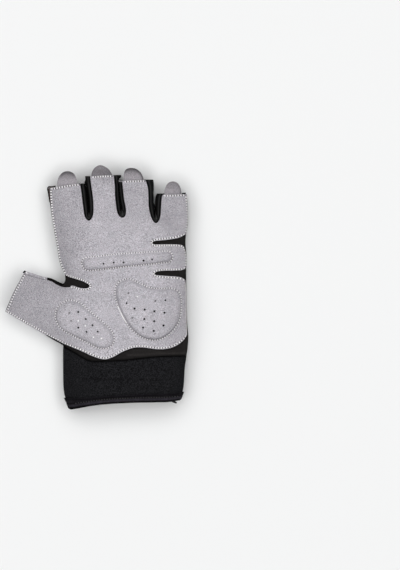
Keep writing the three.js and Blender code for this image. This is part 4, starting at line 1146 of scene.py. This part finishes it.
def cuff_loop(share, off, bumps=0.0):
    """The cuff's section at a share of its length, moved out so far."""
    def y_at(x):
        return (line_y(CUFF_TOP, x) - 0.02) * (1 - share) + (line_y(CUFF_END, x) + GAP + TAPE) * share

    x0 = side_x(SIDE_LINES["lower"], y_at(SEAMS["lower"][-3][0]))
    x1 = side_x(SIDE_LINES["right"], y_at(SEAMS["right"][-3][0]))
    lift = (GAP + TAPE + 0.02) * smooth(share, *CUFF_LIFT)
    xs = x0 + (x1 - x0) * (1 - np.cos(np.pi * np.arange(CUFF_COLUMNS + 1) / CUFF_COLUMNS)) / 2
    ys = y_at(xs)
    spot = np.column_stack([xs, ys])
    upper = np.column_stack([xs, height(spot) + CUFF_PROUD])
    if bumps:
        upper[:, 1] += bumps * (0.3 * wander(spot, 16, 6.1) + 0.12 * wander(spot, 5, 9.3))
    inner = xs[1:-1]
    turn = 1 - np.minimum(1, np.minimum((inner - x0) / CUFF_ROUND, (x1 - inner) / CUFF_ROUND))
    lower = np.column_stack([inner, lift + (SEAM_Z - lift) * (1 - np.sqrt(1 - turn**2))])
    section = np.vstack([lower, upper[::-1]])
    y = np.concatenate([ys[1:-1], ys[::-1]])
    out = moved_loop(section, -off) if off else section
    return np.column_stack([out[:, 0], y, out[:, 1]])


def cuff():
    shares = np.linspace(0, 1, 44)
    outside = [cuff_loop(s, 0, smooth(s, 0, 0.12) * (1 - smooth(s, 0.82, 0.95))) for s in shares]
    within = [cuff_loop(s, -NEOPRENE) for s in (*shares[::3][:-1], 1)]
    rows = np.array([*outside, *within[::-1]]).transpose(1, 0, 2)
    x, y, z = rows.reshape(-1, 3).T
    # Painted shade: a dark line along the top seam, a band at the crease and darker towards the underside,
    # with tone that differs at random.
    seam = line_y(CUFF_TOP, x) - y
    crease_shade = (y - CREASE_SHADE_Y + 0.02 * (x - 20) + 0.3 * np.sin(x / 5)) / CREASE_SHADE_WIDTH
    level = lined(seam, -0.9, 0.8) + 0.06 * wander(rows.reshape(-1, 3), 9, 2.6)
    level -= 0.3 * bell(crease_shade) * smooth(x, -14, -6) * smooth(-x, -56, -48)
    return skinned(rows, True), level * (1 - 0.35 * smooth(-z, -9, -2))


add("cuff_neoprene", *cuff(), CUFF_MAT, "cuff_neoprene", ["cuff"])


def cuff_tape():
    """The tape: a flank outside, round the hem, back inside, and the same way back underneath."""
    length = cuff_length(20) - GAP - TAPE
    edge = 1 - TAPE_WIDTH / length
    a = np.linspace(0, np.pi, 13)
    middle, outer_half = -NEOPRENE / 2, NEOPRENE / 2 + GAP + TAPE
    outer = [(1 + (GAP + TAPE) * np.sin(t) / length, middle + outer_half * np.cos(t)) for t in a]
    inner = [(1 + GAP * np.sin(t) / length, middle + (outer_half - TAPE) * np.cos(t)) for t in a]
    few = np.linspace(edge, 1, 8)[:-1]
    path = [(s, GAP + TAPE) for s in np.linspace(edge, 1, 15)[:-1]] + outer
    path += [(s, -NEOPRENE - GAP - TAPE) for s in np.linspace(1, edge, 8)[1:]]
    path += [(s, -NEOPRENE - GAP) for s in few] + inner[::-1] + [(s, GAP) for s in few[::-1]]
    rows = np.array([cuff_loop(s, off) for s, off in path]).transpose(1, 0, 2)
    x, y, _ = rows.reshape(-1, 3).T
    share = (line_y(CUFF_TOP, x) - y) / cuff_length(x)
    up = y - line_y(CUFF_END, x)
    # The tape's shade: lighter below its stitch line, dark lines along its top edge and its stitch line,
    # painted shade that goes nearly black where it turns under at the hem, and tone that differs at random.
    level = 0.5 + 0.65 * smooth(-up, -TAPE_SEAM, 0.6 - TAPE_SEAM)
    level *= lined((share - edge) * length, -0.75, 0.5)
    level *= lined(up - TAPE_SEAM, -0.95, 0.6)
    level *= (0.05 + 0.95 * smooth(up, 0.9, 2.1)) * (1 + 0.3 * wander(rows.reshape(-1, 3), 3.5, 7.7))
    return skinned(rows, True), level


add("cuff_tape", *cuff_tape(), TAPE_MAT, "binding_tape", ["cuff_binding"])


def tape_stitches():
    """Black stitches along the tape, and a thread's end at its right."""
    x = np.arange(-16, 64, 2.0)
    y = line_y(CUFF_END, x) + TAPE_SEAM
    share = (line_y(CUFF_TOP, x) - y) / (cuff_length(x) - GAP - TAPE)
    at = []
    for where, s in zip(x, share):
        loop = cuff_loop(s, GAP + TAPE)
        loop = loop[loop[:, 2] > SEAM_Z]
        loop = loop[np.argsort(loop[:, 0])]
        at.append([np.interp(where, loop[:, 0], loop[:, k]) for k in range(3)])
    along = unit(np.gradient(at, axis=0))
    up = np.cross(along, (0, 1, 0))
    up = -up if up[0, 2] < 0 else up
    end = curve([[58.4, -87.6, 8.6], [59.8, -88.5, 8.2], [61.2, -89.3, 7.6]], 0.4)
    return [stitches(np.array(at), along, up, 1.3, 0.8, 0.1), cord(end, np.linspace(2.3, 1.1, len(end)), 1.0)]


add_threads("tape_stitches", tape_stitches(), BLACK_THREAD_MAT, "binding_tape")


# Pull tabs. Each has its levels from hem to tip, which hold painted shade where the tip curls down, and its
# dark rim of painted shade: level, width, and how strong it is at the tip, on the right and on the left.
TAB_TONES = {
    "tab_index": ([0.37, 0.37, 0.335, 0.275, 0.25, 0.23, 0.2], 0.09, 2.7, (1, 0, 0)),
    "tab_middle": ([0.22, 0.23, 0.18, 0.18, 0.215, 0.235, 0.225], 0.13, 0.9, (0.4, 0.8, 0.8)),
    "tab_ring": ([0.37, 0.355, 0.31, 0.29, 0.24, 0.195, 0.17], 0.06, 1.8, (1, 0.9, 0)),
    "tab_little": ([0.37, 0.335, 0.305, 0.275, 0.26, 0.25, 0.23], 0.14, 1.2, (0.3, 0.7, 0)),
}


def tab_painted_shade(xy, rim, numbers, tones):
    x, y, half, length, lean, _ = numbers
    levels, dark, width, (tip, right, left) = tones
    up = np.clip((xy[:, 1] - y) / length, 0, 1)
    side = (xy[:, 0] - x - lean * up) / half
    level = np.interp(up, np.linspace(0, 1, len(levels)), levels)
    flanks = right * smooth(side, 0.3, 0.9) + left * smooth(-side, 0.3, 0.9)
    where = tip * smooth(up, 0.5, 0.85) + flanks * (up > 0)
    return level + (dark - level) * np.clip(where, 0, 1) * bell(rim / width)


def tab(x, y, half, length, lean, points):
    tucked = half - TAB_NECK
    angle = np.linspace(0, np.pi, 41)
    point = np.where(np.cos(angle) > 0, *points)
    across = np.sign(np.cos(angle)) * np.abs(np.cos(angle)) ** point
    along = np.sin(angle) ** point
    tongue = np.column_stack([x + half * across + lean * along, y + length * along])
    loop = np.vstack([[[x - tucked, y - TAB_TUCK], [x + tucked, y - TAB_TUCK]], tongue])
    xy, faces = flat_mesh([loop], lattice([loop], 0.8, 0.4))
    past = np.maximum(0, xy[:, 1] - y)
    base = np.column_stack([xy[:, 0], np.minimum(xy[:, 1], y)])
    place, n = surface(base)
    place[:, 1] += past
    place[:, 2] -= TAB_CURL * (past / length) ** 2
    rim = distance(xy, loop, True)
    top = -TAB_DROP - 0.1 * bell(rim / 0.3) + 0.12 * wander(xy, 5, x)
    bottom = -TAB_DROP - SUEDE + 0.1 * bell(rim / 0.4)
    return slab(place, n, top, bottom, faces), xy, rim


for name, numbers in TABS.items():
    tongue, xy, rim = tab(*numbers)
    shade = tab_painted_shade(xy, rim, numbers, TAB_TONES[name])
    add(name + "_suede", tongue, shade, TAB_SUEDE, "tab_suede", [name])
